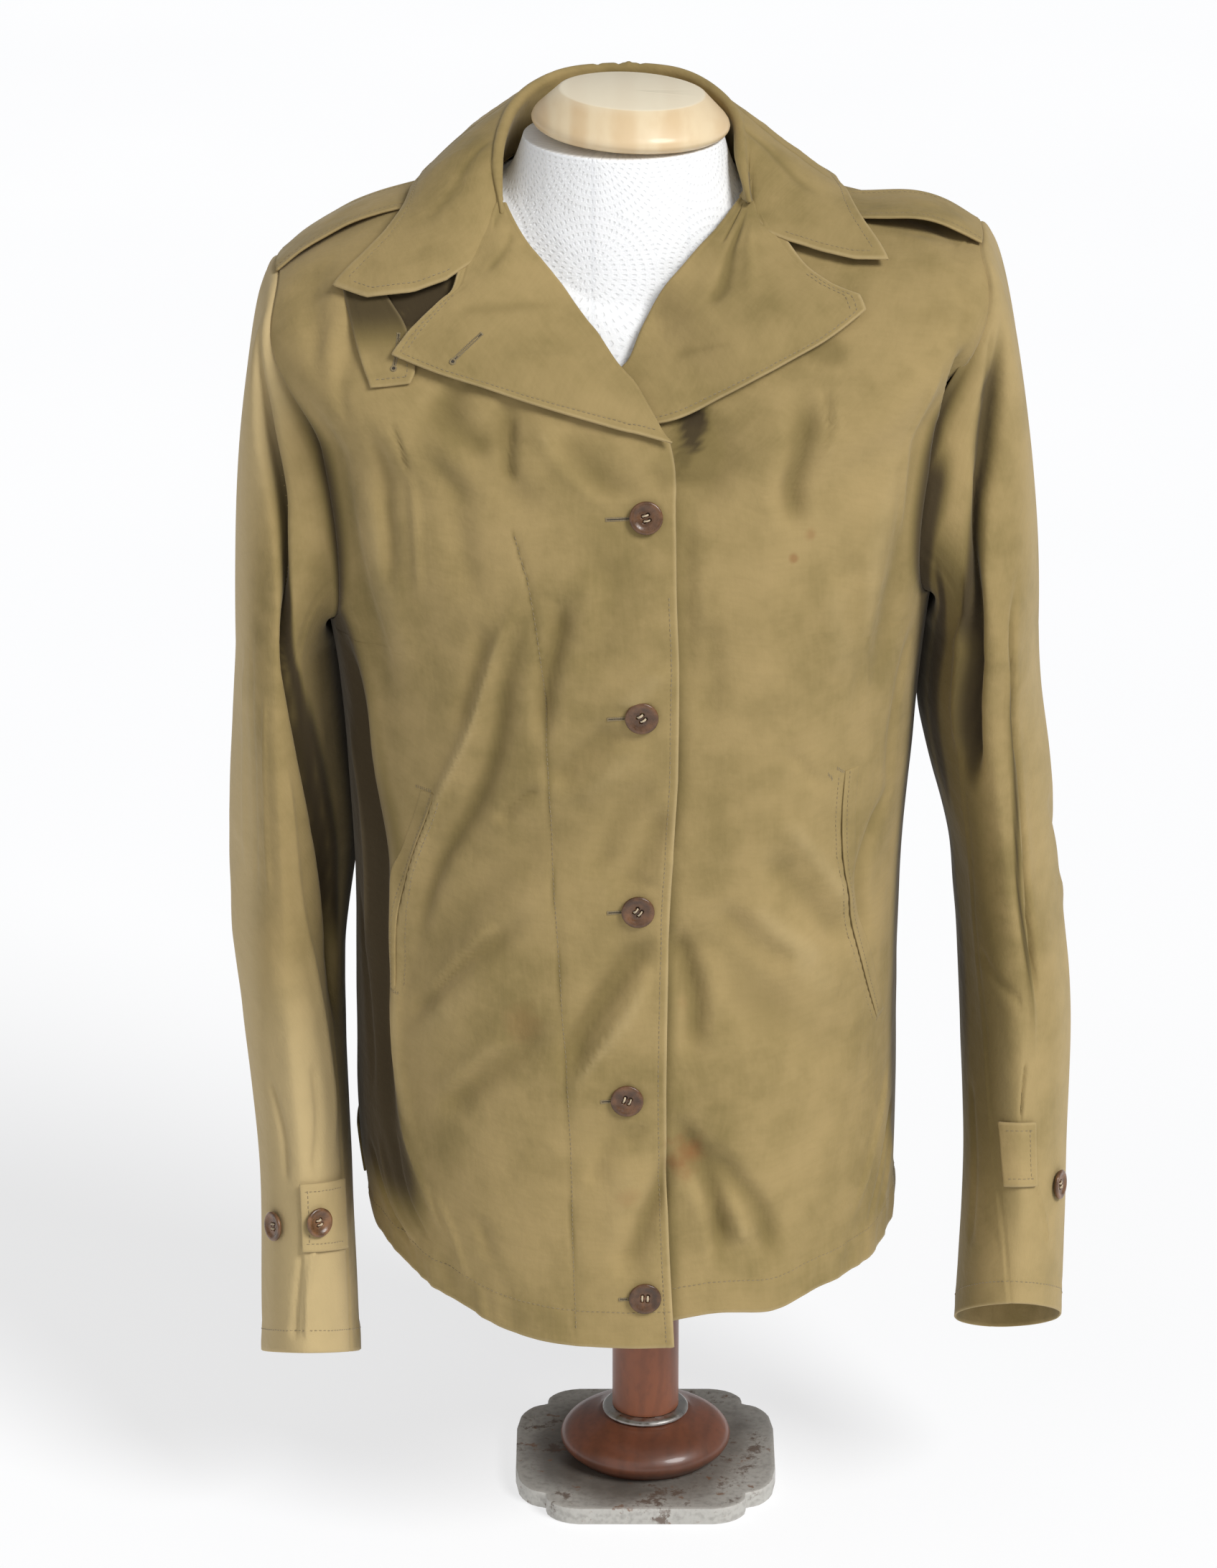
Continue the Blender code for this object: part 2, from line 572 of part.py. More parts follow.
def back_panel(name, look, collection):
    shares = np.linspace(0.0, 1.0, BACK_COLUMNS)
    bow = 1 - (2 * shares - 1) ** 4
    angles, levels = [], []
    for level, even, turn in panel_rows():
        start = outer_edge(level, turn, 1, -1)
        end = 360.0 + outer_edge(level, turn, -1, -1)
        angles.append(start + (end - start) * shares)
        levels.append(level + (even - level) * bow)
    angles, levels = np.array(angles), np.array(levels)
    right, left, weight = hem_cut(angles, levels)
    levels = levels + np.where(angles > 180.0, right, left) * weight
    mesh = wall_mesh(name, body(angles, levels), body(angles, levels, -WALL))
    return add(mesh, name, look, collection)


def sleeve_panel(name, table_, side, turns, look, collection):
    """The upper or the under piece of a sleeve, from its armhole edge to the cuff."""
    turns = np.array(turns, float)
    cap = sleeve_cap(table_, side, turns[None, :], np.array(CAP_ROWS)[:, None])
    arm = sleeve(table_, side, turns[None, :], np.array(ARM_ROWS)[:, None])
    step = 0.5
    normals = []
    for rows, surface in ((CAP_ROWS, sleeve_cap), (ARM_ROWS, sleeve)):
        rows = np.array(rows)[:, None]
        after = np.clip(rows + 0.01, 0, 1)
        before = np.clip(rows - 0.01, 0, 1)
        around = surface(table_, side, turns + step, rows) - surface(table_, side, turns - step, rows)
        along = surface(table_, side, turns, after) - surface(table_, side, turns, before)
        normals.append(unit(np.cross(around, along)) * side)
    outer = np.concatenate([cap, arm])
    inner = outer - WALL * np.concatenate(normals)
    return add(wall_mesh(name, outer, inner), name, look, collection)


def sleeve_pieces(label, table_, side, look, collection):
    for part, first, last in (("upper", BACK_SEAM - 360.0, FRONT_SEAM), ("under", FRONT_SEAM, BACK_SEAM)):
        inside = np.arange(first + RING_STEP, last - 1.0, RING_STEP)
        turns = [first + SEAM_TURN, *inside, last - SEAM_TURN]
        sleeve_panel(f"sleeve_{label}_{part}", table_, side, turns, look, collection)


def lapel(name, outline, is_left, look, collection):
    """A turned-out front top: from its roll line to its outline, over the front it belongs to."""
    share = np.linspace(0.0, 1.0, LAPEL_COLUMNS)[None, :]
    column = {key: value[:, None] for key, value in outline.items()}
    angles = column["roll_angle"] + (column["angle"] - column["roll_angle"]) * share
    levels = column["roll_level"] + (column["level"] - column["roll_level"]) * share
    along = np.linspace(0.0, 1.0, len(outline["angle"]))[:, None]
    bow = LAPEL_BOW * np.sin(np.pi * np.clip(1.1 * share, 0, 1)) * ease(0.0, 0.3, along)
    under = REST_GAP + (column["lift"] - REST_GAP) * ease(0.0, 0.7, share) + bow
    if is_left:
        under = under + under_front(angles, levels)
    mesh = wall_mesh(name, body(angles, levels, under + COLLAR_WALL), body(angles, levels, under))
    return add(mesh, name, look, collection)


def collar_surface():
    """Middle surface of the collar: rows across it from its seam over the roll to its edge."""
    stations = np.linspace(COLLAR["station"][0], COLLAR["station"][-1], COLLAR_STATIONS)
    flip = -COLLAR["station"]
    read = {name: curve(flip, COLLAR[name], -stations) for name in COLLAR}
    seam = body(read["seam"], read["seam_level"], -0.5 * COLLAR_WALL) + np.array([0.0, 0.0, COLLAR_RISE])
    roll = np.stack([read["roll_x"], read["roll_y"], read["roll_z"]], -1)
    edge = body(read["edge_angle"], read["edge_level"], read["edge_lift"])
    outward = edge - roll
    outward[:, 2] = 0.0
    outward = unit(outward) * ROLL_RADIUS
    down = np.array([0.0, 0.0, -1.0])
    inside = roll - outward + down * ROLL_RADIUS
    outside = roll + outward + down * ROLL_RADIUS
    lines = [seam, seam + (inside - seam) * 0.5, inside, roll, outside]
    along = np.linspace(0.0, 1.0, COLLAR_STATIONS)
    ends = ((COLLAR_END_RIGHT, 1 - ease(0.0, COLLAR_END_SHARE, along)),
            (COLLAR_END_LEFT, ease(1 - COLLAR_END_SHARE, 1.0, along)))
    for share in FALL_SHARES:
        line = outside + (edge - outside) * share
        bulge = read["bulge"][:, None] * np.sin(np.pi * share)
        line = line + unit(outward - down * ROLL_RADIUS) * bulge
        for end, weight in ends:
            angle = np.interp(share, end["share"], end["angle"])
            level = np.interp(share, end["share"], end["level"])
            target = body(angle, level, COLLAR_END_LIFT)
            index = 0 if end is COLLAR_END_RIGHT else -1
            line = line + (target - line[index]) * weight[:, None]
        lines.append(line)
    return np.array(lines)


def collar(look, collection):
    middle = collar_surface()
    half = grid_normals(middle) * (0.5 * COLLAR_WALL)
    return add(wall_mesh("collar", middle + half, middle - half), "collar", look, collection)


def patch(name, angles, levels, lift, thickness, look, collection):
    """A flat piece on the body, made from the body's points."""
    outer = body(angles, levels, lift + thickness)
    return add(wall_mesh(name, outer, body(angles, levels, lift)), name, look, collection)


def shoulder_strap(name, side, edges, bulge, look, collection):
    """A strap along the shoulder, from the armhole to under the collar."""
    along = np.linspace(0.0, 1.0, 9)[:, None]
    levels = STRAP_LEVELS[0] + (STRAP_LEVELS[1] - STRAP_LEVELS[0]) * along
    depths = np.linspace(*edges, 5)[None, :]
    levels, depths = np.broadcast_arrays(levels, depths)
    angles = angle_at_depth(levels, depths, side)
    lift = TAB_LIFT + bulge * np.sin(np.pi * np.clip(1.15 * along, 0, 1)) ** 1.5
    return patch(name, angles, levels, lift, WALL, look, collection)


def pocket_welt(name, line, side, look, collection):
    across = np.linspace(0.0, 1.0, 3)[None, :]
    angles = line["angle"][:, None] + side * WELT_WIDTH * across
    levels = line["level"][:, None] + 0.0 * across
    return patch(name, angles, levels, REST_GAP, WELT_WALL, look, collection)


def throat_tab(look, collection):
    """A tab that hangs from under the collar, its free end under the lapel's tip."""
    across = np.linspace(0.0, 1.0, 4)[None, :]
    corner = {name: values[:, None] for name, values in THROAT_TAB.items()}
    angles = corner["outer_angle"] + (corner["inner_angle"] - corner["outer_angle"]) * across
    levels = corner["outer_level"] + (corner["inner_level"] - corner["outer_level"]) * across
    return patch("throat_tab", angles, levels, TAB_LIFT, TAB_WALL, look, collection)


def side_tab(name, side, reach, look, collection):
    """A tab near the hem, sewn in the side seam and turned to the back."""
    along = np.linspace(0.0, 1.0, 5)[None, :]
    levels = np.linspace(*SIDE_TAB_LEVELS, 3)[:, None] + 0.0 * along
    angles = side * (reach + SIDE_TAB_LENGTH * along) + 0.0 * levels
    return patch(name, angles, levels, TAB_LIFT, TAB_WALL, look, collection)


def cuff_tab(name, table_, side, turns, shares, look, collection):
    """A tab sewn in the sleeve's front seam, round the front of the cuff."""
    turn = np.linspace(*turns, 6)[None, :]
    share = np.linspace(*shares, 3)[:, None]
    outer = sleeve(table_, side, turn, share, CUFF_TAB_LIFT + TAB_WALL)
    inner = sleeve(table_, side, turn, share, CUFF_TAB_LIFT)
    return add(wall_mesh(name, outer, inner), name, look, collection)


def button_mesh(radius, steps=12):
    profile = list(zip(radius * BUTTON_PROFILE["share"], BUTTON_PROFILE["height"]))
    return turned_mesh("button", profile, steps)


def place_button(name, mesh, point, normal, look, collection):
    thing = add(mesh, name, look, collection)
    thing.location = Vector(point * MM)
    thing.rotation_mode = "QUATERNION"
    thing.rotation_quaternion = Vector(normal).to_track_quat("Z", "Y")
    return thing


def buttons(look, cuff_look, collection):
    pairs = zip(FRONT_BUTTONS["angle"], FRONT_BUTTONS["level"])
    for number, (angle, level) in enumerate(pairs, 1):
        angle, level = np.array(angle), np.array(level)
        point = body(angle, level, BUTTON_LIFT)
        mesh = button_mesh(BUTTON_RADIUS)
        place_button(f"front_button_{number}", mesh, point, body_normal(angle, level), look, collection)
    for side, number, turn, share, lift in zip(*CUFF_BUTTONS.values()):
        label, table_ = ("right", SLEEVE_RIGHT) if side < 0 else ("left", SLEEVE_LEFT)
        turn, share = np.array(turn), np.array(share)
        around = sleeve(table_, side, turn + 3, share) - sleeve(table_, side, turn - 3, share)
        along = sleeve(table_, side, turn, share + 0.02) - sleeve(table_, side, turn, share - 0.02)
        normal = unit(np.cross(around, along)) * side
        point = sleeve(table_, side, turn, share) + normal * lift
        mesh = button_mesh(CUFF_BUTTON_RADIUS)
        place_button(f"cuff_button_{label}_{int(number)}", mesh, point, normal, cuff_look, collection)


# ---------------------------------------------------------------- the dress form and its stand


def dress_form(look, collection):
    """Limbless torso and neck of a general figure, inside the jacket."""
    angles = np.arange(0.0, 360.0, FORM_STEP)
    rings = []
    for level in FORM_ROWS:
        side_share = np.abs(np.sin(np.radians(angles))) ** 3
        front_share = np.clip(np.cos(np.radians(angles)), 0, 1) ** 1.5
        inset = curve(FORM_INSET["level"], FORM_INSET["inset"], level)
        inset = inset + side_share * curve(FORM_INSET["level"], FORM_INSET["side_extra"], level)
        inset = inset + front_share * curve(FORM_INSET["level"], FORM_INSET["front_extra"], level)
        rings.append(smooth_body(angles, level) - body_normal(angles, level) * inset[:, None])
    rings[0][:, 2] = FORM_BOTTOM
    top_x = NECK_CENTRE[0] + NECK_HALF[0] * np.sin(np.radians(angles))
    top_y = NECK_CENTRE[1] - NECK_HALF[1] * np.cos(np.radians(angles))
    top = np.stack([top_x, top_y, np.full(angles.shape, NECK_TOP)], -1)
    last = rings[-1]
    for share in (0.35, 0.7):
        ring = last + (top - last) * share
        ring[:, :2] = last[:, :2] + (top - last)[:, :2] * np.sqrt(share)
        rings.append(ring)
    rings.append(top)
    count = len(angles)
    points = np.concatenate(rings)
    faces = []
    for i in range(len(rings) - 1):
        for j in range(count):
            k = (j + 1) % count
            faces.append((i * count + j, i * count + k, (i + 1) * count + k, (i + 1) * count + j))
    faces.append(tuple(range(count)))
    faces.append(tuple((len(rings) - 1) * count + j for j in range(count)))
    return add(mesh_from("dress_form", points, faces), "dress_form", look, collection)


def neck_cap(look, collection):
    profile = list(zip(CAP_PROFILE["radius"], CAP_PROFILE["height"]))
    cap = add(turned_mesh("neck_cap", profile, 32), "neck_cap", look, collection)
    cap.location = Vector((CAP_CENTRE[0], CAP_CENTRE[1], NECK_TOP + CAP_GAP)) * MM
    cap.rotation_euler = (0.0, np.radians(CAP_LEAN), 0.0)
    return cap


def base_plate(look, collection):
    """Plate with four bowed sides that meet in notched corners, its edge slightly broken."""
    corner = list(zip(PLATE_CORNER["x"], PLATE_CORNER["y"]))
    outline = []
    for x_side, y_side in ((1, -1), (1, 1), (-1, 1), (-1, -1)):
        points = corner if x_side * y_side < 0 else corner[::-1]
        outline += [Vector((x_side * x, y_side * y)) for x, y in points]
    mesh = bpy.data.meshes.new("base_plate")
    tool = bmesh.new()
    face = tool.faces.new([tool.verts.new((p.x * MM, p.y * MM, 0.0)) for p in outline])
    if face.calc_area() and face.normal.z > 0:
        face.normal_flip()
    raised = bmesh.ops.extrude_face_region(tool, geom=[face])
    for vert in (v for v in raised["geom"] if isinstance(v, bmesh.types.BMVert)):
        vert.co.z = PLATE_THICK * MM
    bmesh.ops.recalc_face_normals(tool, faces=tool.faces)
    tool.to_mesh(mesh)
    tool.free()
    plate = add(mesh, "base_plate", look, collection)
    bevel = plate.modifiers.new("rounded edge", "BEVEL")
    bevel.width = PLATE_BREAK * MM
    bevel.segments = 1
    bevel.limit_method = "ANGLE"
    bevel.angle_limit = np.radians(60.0)
    return plate


def stand(looks, collection):
    """Flange, ring and pole, one on top of the other."""
    base = PLATE_THICK + SEAM_GAP
    for name, profile, look in (("flange", FLANGE_PROFILE, "wood"), ("pole_ring", RING_PROFILE, "steel")):
        mesh = turned_mesh(name, list(zip(profile["radius"], profile["height"])), TURNED_STEPS)
        made = add(mesh, name, looks[look], collection)
        made.location = Vector((0.0, 0.0, base)) * MM
        base += profile["height"][0] + SEAM_GAP
    length = FORM_BOTTOM - SEAM_GAP - base
    pole = ((0.0, length), (POLE_RADIUS, length), (POLE_RADIUS, 0.0), (0.0, 0.0))
    made = add(turned_mesh("pole", pole, TURNED_STEPS), "pole", looks["wood"], collection)
    made.location = Vector((0.0, 0.0, base)) * MM


def main():
    for thing in list(bpy.data.objects):
        bpy.data.objects.remove(thing)
    collection = bpy.data.collections.new("field_jacket")
    bpy.context.scene.collection.children.link(collection)
    cloth = ((0.36, 0.28, 0.13), 0.85)
    trim = ((0.34, 0.265, 0.12), 0.85)
    brown = ((0.12, 0.055, 0.035), 0.35)
    cuff_brown = ((0.20, 0.11, 0.07), 0.45)
    wood = ((0.16, 0.045, 0.018), 0.25)
    front_panel("front_right", -1, EDGE_RIGHT, cloth, collection)
    front_panel("front_left", 1, EDGE_LEFT, cloth, collection)
    back_panel("back", cloth, collection)
    sleeve_pieces("right", SLEEVE_RIGHT, -1, cloth, collection)
    sleeve_pieces("left", SLEEVE_LEFT, 1, cloth, collection)
    lapel("lapel_right", LAPEL_RIGHT, False, trim, collection)
    lapel("lapel_left", LAPEL_LEFT, True, trim, collection)
    collar(trim, collection)
    shoulder_strap("shoulder_strap_right", -1, STRAP_RIGHT, 2.0, trim, collection)
    shoulder_strap("shoulder_strap_left", 1, STRAP_LEFT, 7.0, trim, collection)
    pocket_welt("pocket_welt_right", POCKET_RIGHT, -1, trim, collection)
    pocket_welt("pocket_welt_left", POCKET_LEFT, 1, trim, collection)
    throat_tab(trim, collection)
    side_tab("side_tab_right", -1, 86.0, trim, collection)
    side_tab("side_tab_left", 1, 102.0, trim, collection)
    cuff_tab("cuff_tab_right", SLEEVE_RIGHT, -1, (71.0, 119.0), (0.82, 0.90), trim, collection)
    cuff_tab("cuff_tab_left", SLEEVE_LEFT, 1, (74.0, 119.0), (0.76, 0.85), trim, collection)
    buttons(brown, cuff_brown, collection)
    dress_form(((0.85, 0.86, 0.87), 0.9), collection)
    neck_cap(((0.72, 0.55, 0.33), 0.5), collection)
    base_plate(((0.30, 0.29, 0.27), 0.5, 0.6), collection)
    stand({"wood": wood, "steel": ((0.5, 0.5, 0.5), 0.35, 1.0)}, collection)


main()
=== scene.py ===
"""Looks of a field jacket worn by a tabletop dress form.

Every cloth piece is a thin shell on the form of its CAD solid: the same sections, seams and folds, read
more finely, with creases, puckers and sewing on top. Sizes are in millimetres until a mesh is made.
Angle 0 is the front and +90 the wearer's left; level 0 is the hem and 1 the neck seam. Side -1 is the
wearer's right and 1 the left.
"""

import bpy
import numpy as np
from mathutils import Matrix, Vector


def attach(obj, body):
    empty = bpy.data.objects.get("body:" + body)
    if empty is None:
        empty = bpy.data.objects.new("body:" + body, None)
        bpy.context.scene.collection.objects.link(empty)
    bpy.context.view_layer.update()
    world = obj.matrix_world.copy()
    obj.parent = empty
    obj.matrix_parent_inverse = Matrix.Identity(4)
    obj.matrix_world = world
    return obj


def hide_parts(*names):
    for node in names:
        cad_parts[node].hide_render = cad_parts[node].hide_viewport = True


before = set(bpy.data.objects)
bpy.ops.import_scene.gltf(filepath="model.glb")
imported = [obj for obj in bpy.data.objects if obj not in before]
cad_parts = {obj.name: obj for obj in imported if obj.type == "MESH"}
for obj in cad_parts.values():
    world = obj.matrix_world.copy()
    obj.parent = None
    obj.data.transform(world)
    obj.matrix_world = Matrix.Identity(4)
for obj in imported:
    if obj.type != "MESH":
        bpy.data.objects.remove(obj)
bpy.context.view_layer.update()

MM = 0.001
UP = np.array([0.0, 0.0, 1.0])
SIDES = {-1: "right", 1: "left"}

# Sizes of the CAD solids and their gaps.
SEAM_GAP = 0.3
REST_GAP = 0.8
WALL = 1.6
COLLAR_WALL = 1.8
ARMHOLE_LEVEL = 0.82
ARMHOLE_REACH = 0.12
ARMHOLE_FRONT = 30.0
ARMHOLE_BACK = 27.0
ARMHOLE_SQUARE = 0.6
PLATE_THICK = 10.0
POLE_RADIUS = 18.5
FORM_BOTTOM = 262.0
FORM_CLEAR = 2.6        # the least distance between the form and the cloth's outer face

# Thickness of the shells.
CLOTH = 1.1
TRIM_CLOTH = 1.4
TAB_CLOTH = 1.3

# Length of cloth for one degree and one level of the body, and height above the hem for one level.
ANGLE_MM = 2.5
LEVEL_MM = 590.0
ABOVE_MM = 0.93 * LEVEL_MM
FORM_ANGLE_MM = 0.95    # of towelling for one degree round the form

# Distance of stitch lines from their edges.
HEM_LINE = 21.0
EDGE_STITCH = 3.9
COLLAR_STITCH = 5.2
LAPEL_STITCH = 4.2

# Least and most share of its rectangle that a flat cut fills.
AREA_SHARES = (0.31, 0.999)
FRONT_CUTS = {-1: (0.34, 0.68), 1: (0.36, 0.68)}

# Distances in mm of the first columns of a front from its edge, and how many even ones follow.
NEAR_EDGE = (0.0, 0.7, 1.4, 2.2, 3.0, 3.7, 4.4, 5.2, 6.4, 8.0, 10.0)
FRONT_COLUMNS = 92

# Colours of the cloth, the darkest painted shade of its folds, and the scale of its threads.
GREEN = (0.160, 0.119, 0.040)
KHAKI = (0.272, 0.203, 0.079)
TAN = (0.395, 0.286, 0.127)
PALE = (0.52, 0.40, 0.21)
DEEPEST_SHADE = (0.040, 0.027, 0.013)
RUST = (0.22, 0.085, 0.028)
THREADS = 420.0

# The towelling: the width of one pattern in metres, rings of dots in it, and where its layers overlap.
TOWEL_CELL = 0.062
TOWEL_RINGS = 15.0
TOWEL_EDGES = (-28.0, 21.0)

# The camera and the lights: name, direction, angle across and strength.
PHOTO_HEIGHT = 2184.0
FOCAL_PIXELS = 8600.0
SENSOR_MM = 36.0
CAMERA_AT = (-0.0207, -3.091, 1.635)
CAMERA_DOWN = 21.6
LIGHTS = (("key", (0.80, -0.72, 1.00), 24.0, 2.75), ("fill", (-0.60, -1.0, 0.60), 60.0, 0.45))


def table(columns, *rows):
    """A table as one array for each named column."""
    return {name: np.array([row[i] for row in rows], float) for i, name in enumerate(columns.split())}


SECTIONS = table(
    "level z_front z_right z_left z_back half_width front back square centre",
    (0, 146, 164, 167, 158, 143, 146, 118, 0.9, -7),
    (0.12, 212, 218, 224, 218, 147, 144, 114, 0.9, -10),
    (0.26, 290, 289, 298, 293, 147, 141, 108, 0.88, -11),
    (0.44, 390, 382, 396, 391, 148, 134, 101, 0.86, -10),
    (0.58, 466, 456, 471, 470, 153, 135, 106, 0.85, -9),
    (0.7, 530, 518, 534, 540, 160, 137, 114, 0.84, -9),
    (0.78, 566, 563, 581, 585, 169, 135, 118, 0.84, -10),
    (0.86, 606, 628, 646, 635, 178, 128, 117, 0.84, -10),
    (0.94, 648, 704, 721, 690, 182, 115, 106, 0.84, -10),
    (0.97, 674, 733, 732, 726, 130, 97, 89, 0.88, -11),
    (1, 702, 750, 747, 757, 68, 70, 64, 0.95, -13),
    (1.03, 722, 762, 758, 774, 60, 61, 57, 0.95, -13),
)
# The largest folds, as in the solids.
BODY_FOLDS = table(
    "angle_0 level_0 angle_1 level_1 width depth",
    (-7, 0.546, -54, 0.332, 13, -3.2),
    (-12, 0.49, -50, 0.275, 15, 2.2),
    (-19, 0.66, -33, 0.492, 12, -2.2),
    (-28, 0.945, -27, 0.87, 9, -2.6),
    (-17, 0.945, -14, 0.86, 9, -2.8),
    (-55, 0.9, -52, 0.64, 12, -4),
    (-47, 0.88, -44, 0.66, 12, 2.6),
    (9, 0.43, 34, 0.32, 13, -3),
    (12, 0.37, 51, 0.262, 14, -2.6),
    (20, 0.42, 46, 0.33, 13, 2),
    (10, 0.945, 8, 0.86, 9, -3.6),
    (55, 0.9, 52, 0.64, 12, -4),
    (46, 0.88, 43, 0.64, 12, 2.4),
    (-128, 0.88, -132, 0.52, 15, -3.4),
    (-146, 0.84, -150, 0.4, 17, 2.6),
    (129, 0.88, 134, 0.5, 15, -3.6),
    (148, 0.86, 150, 0.44, 17, 2.4),
    (118, 0.3, 158, 0.2, 14, -2.4),
    (-122, 0.33, -160, 0.23, 14, -2.2),
)
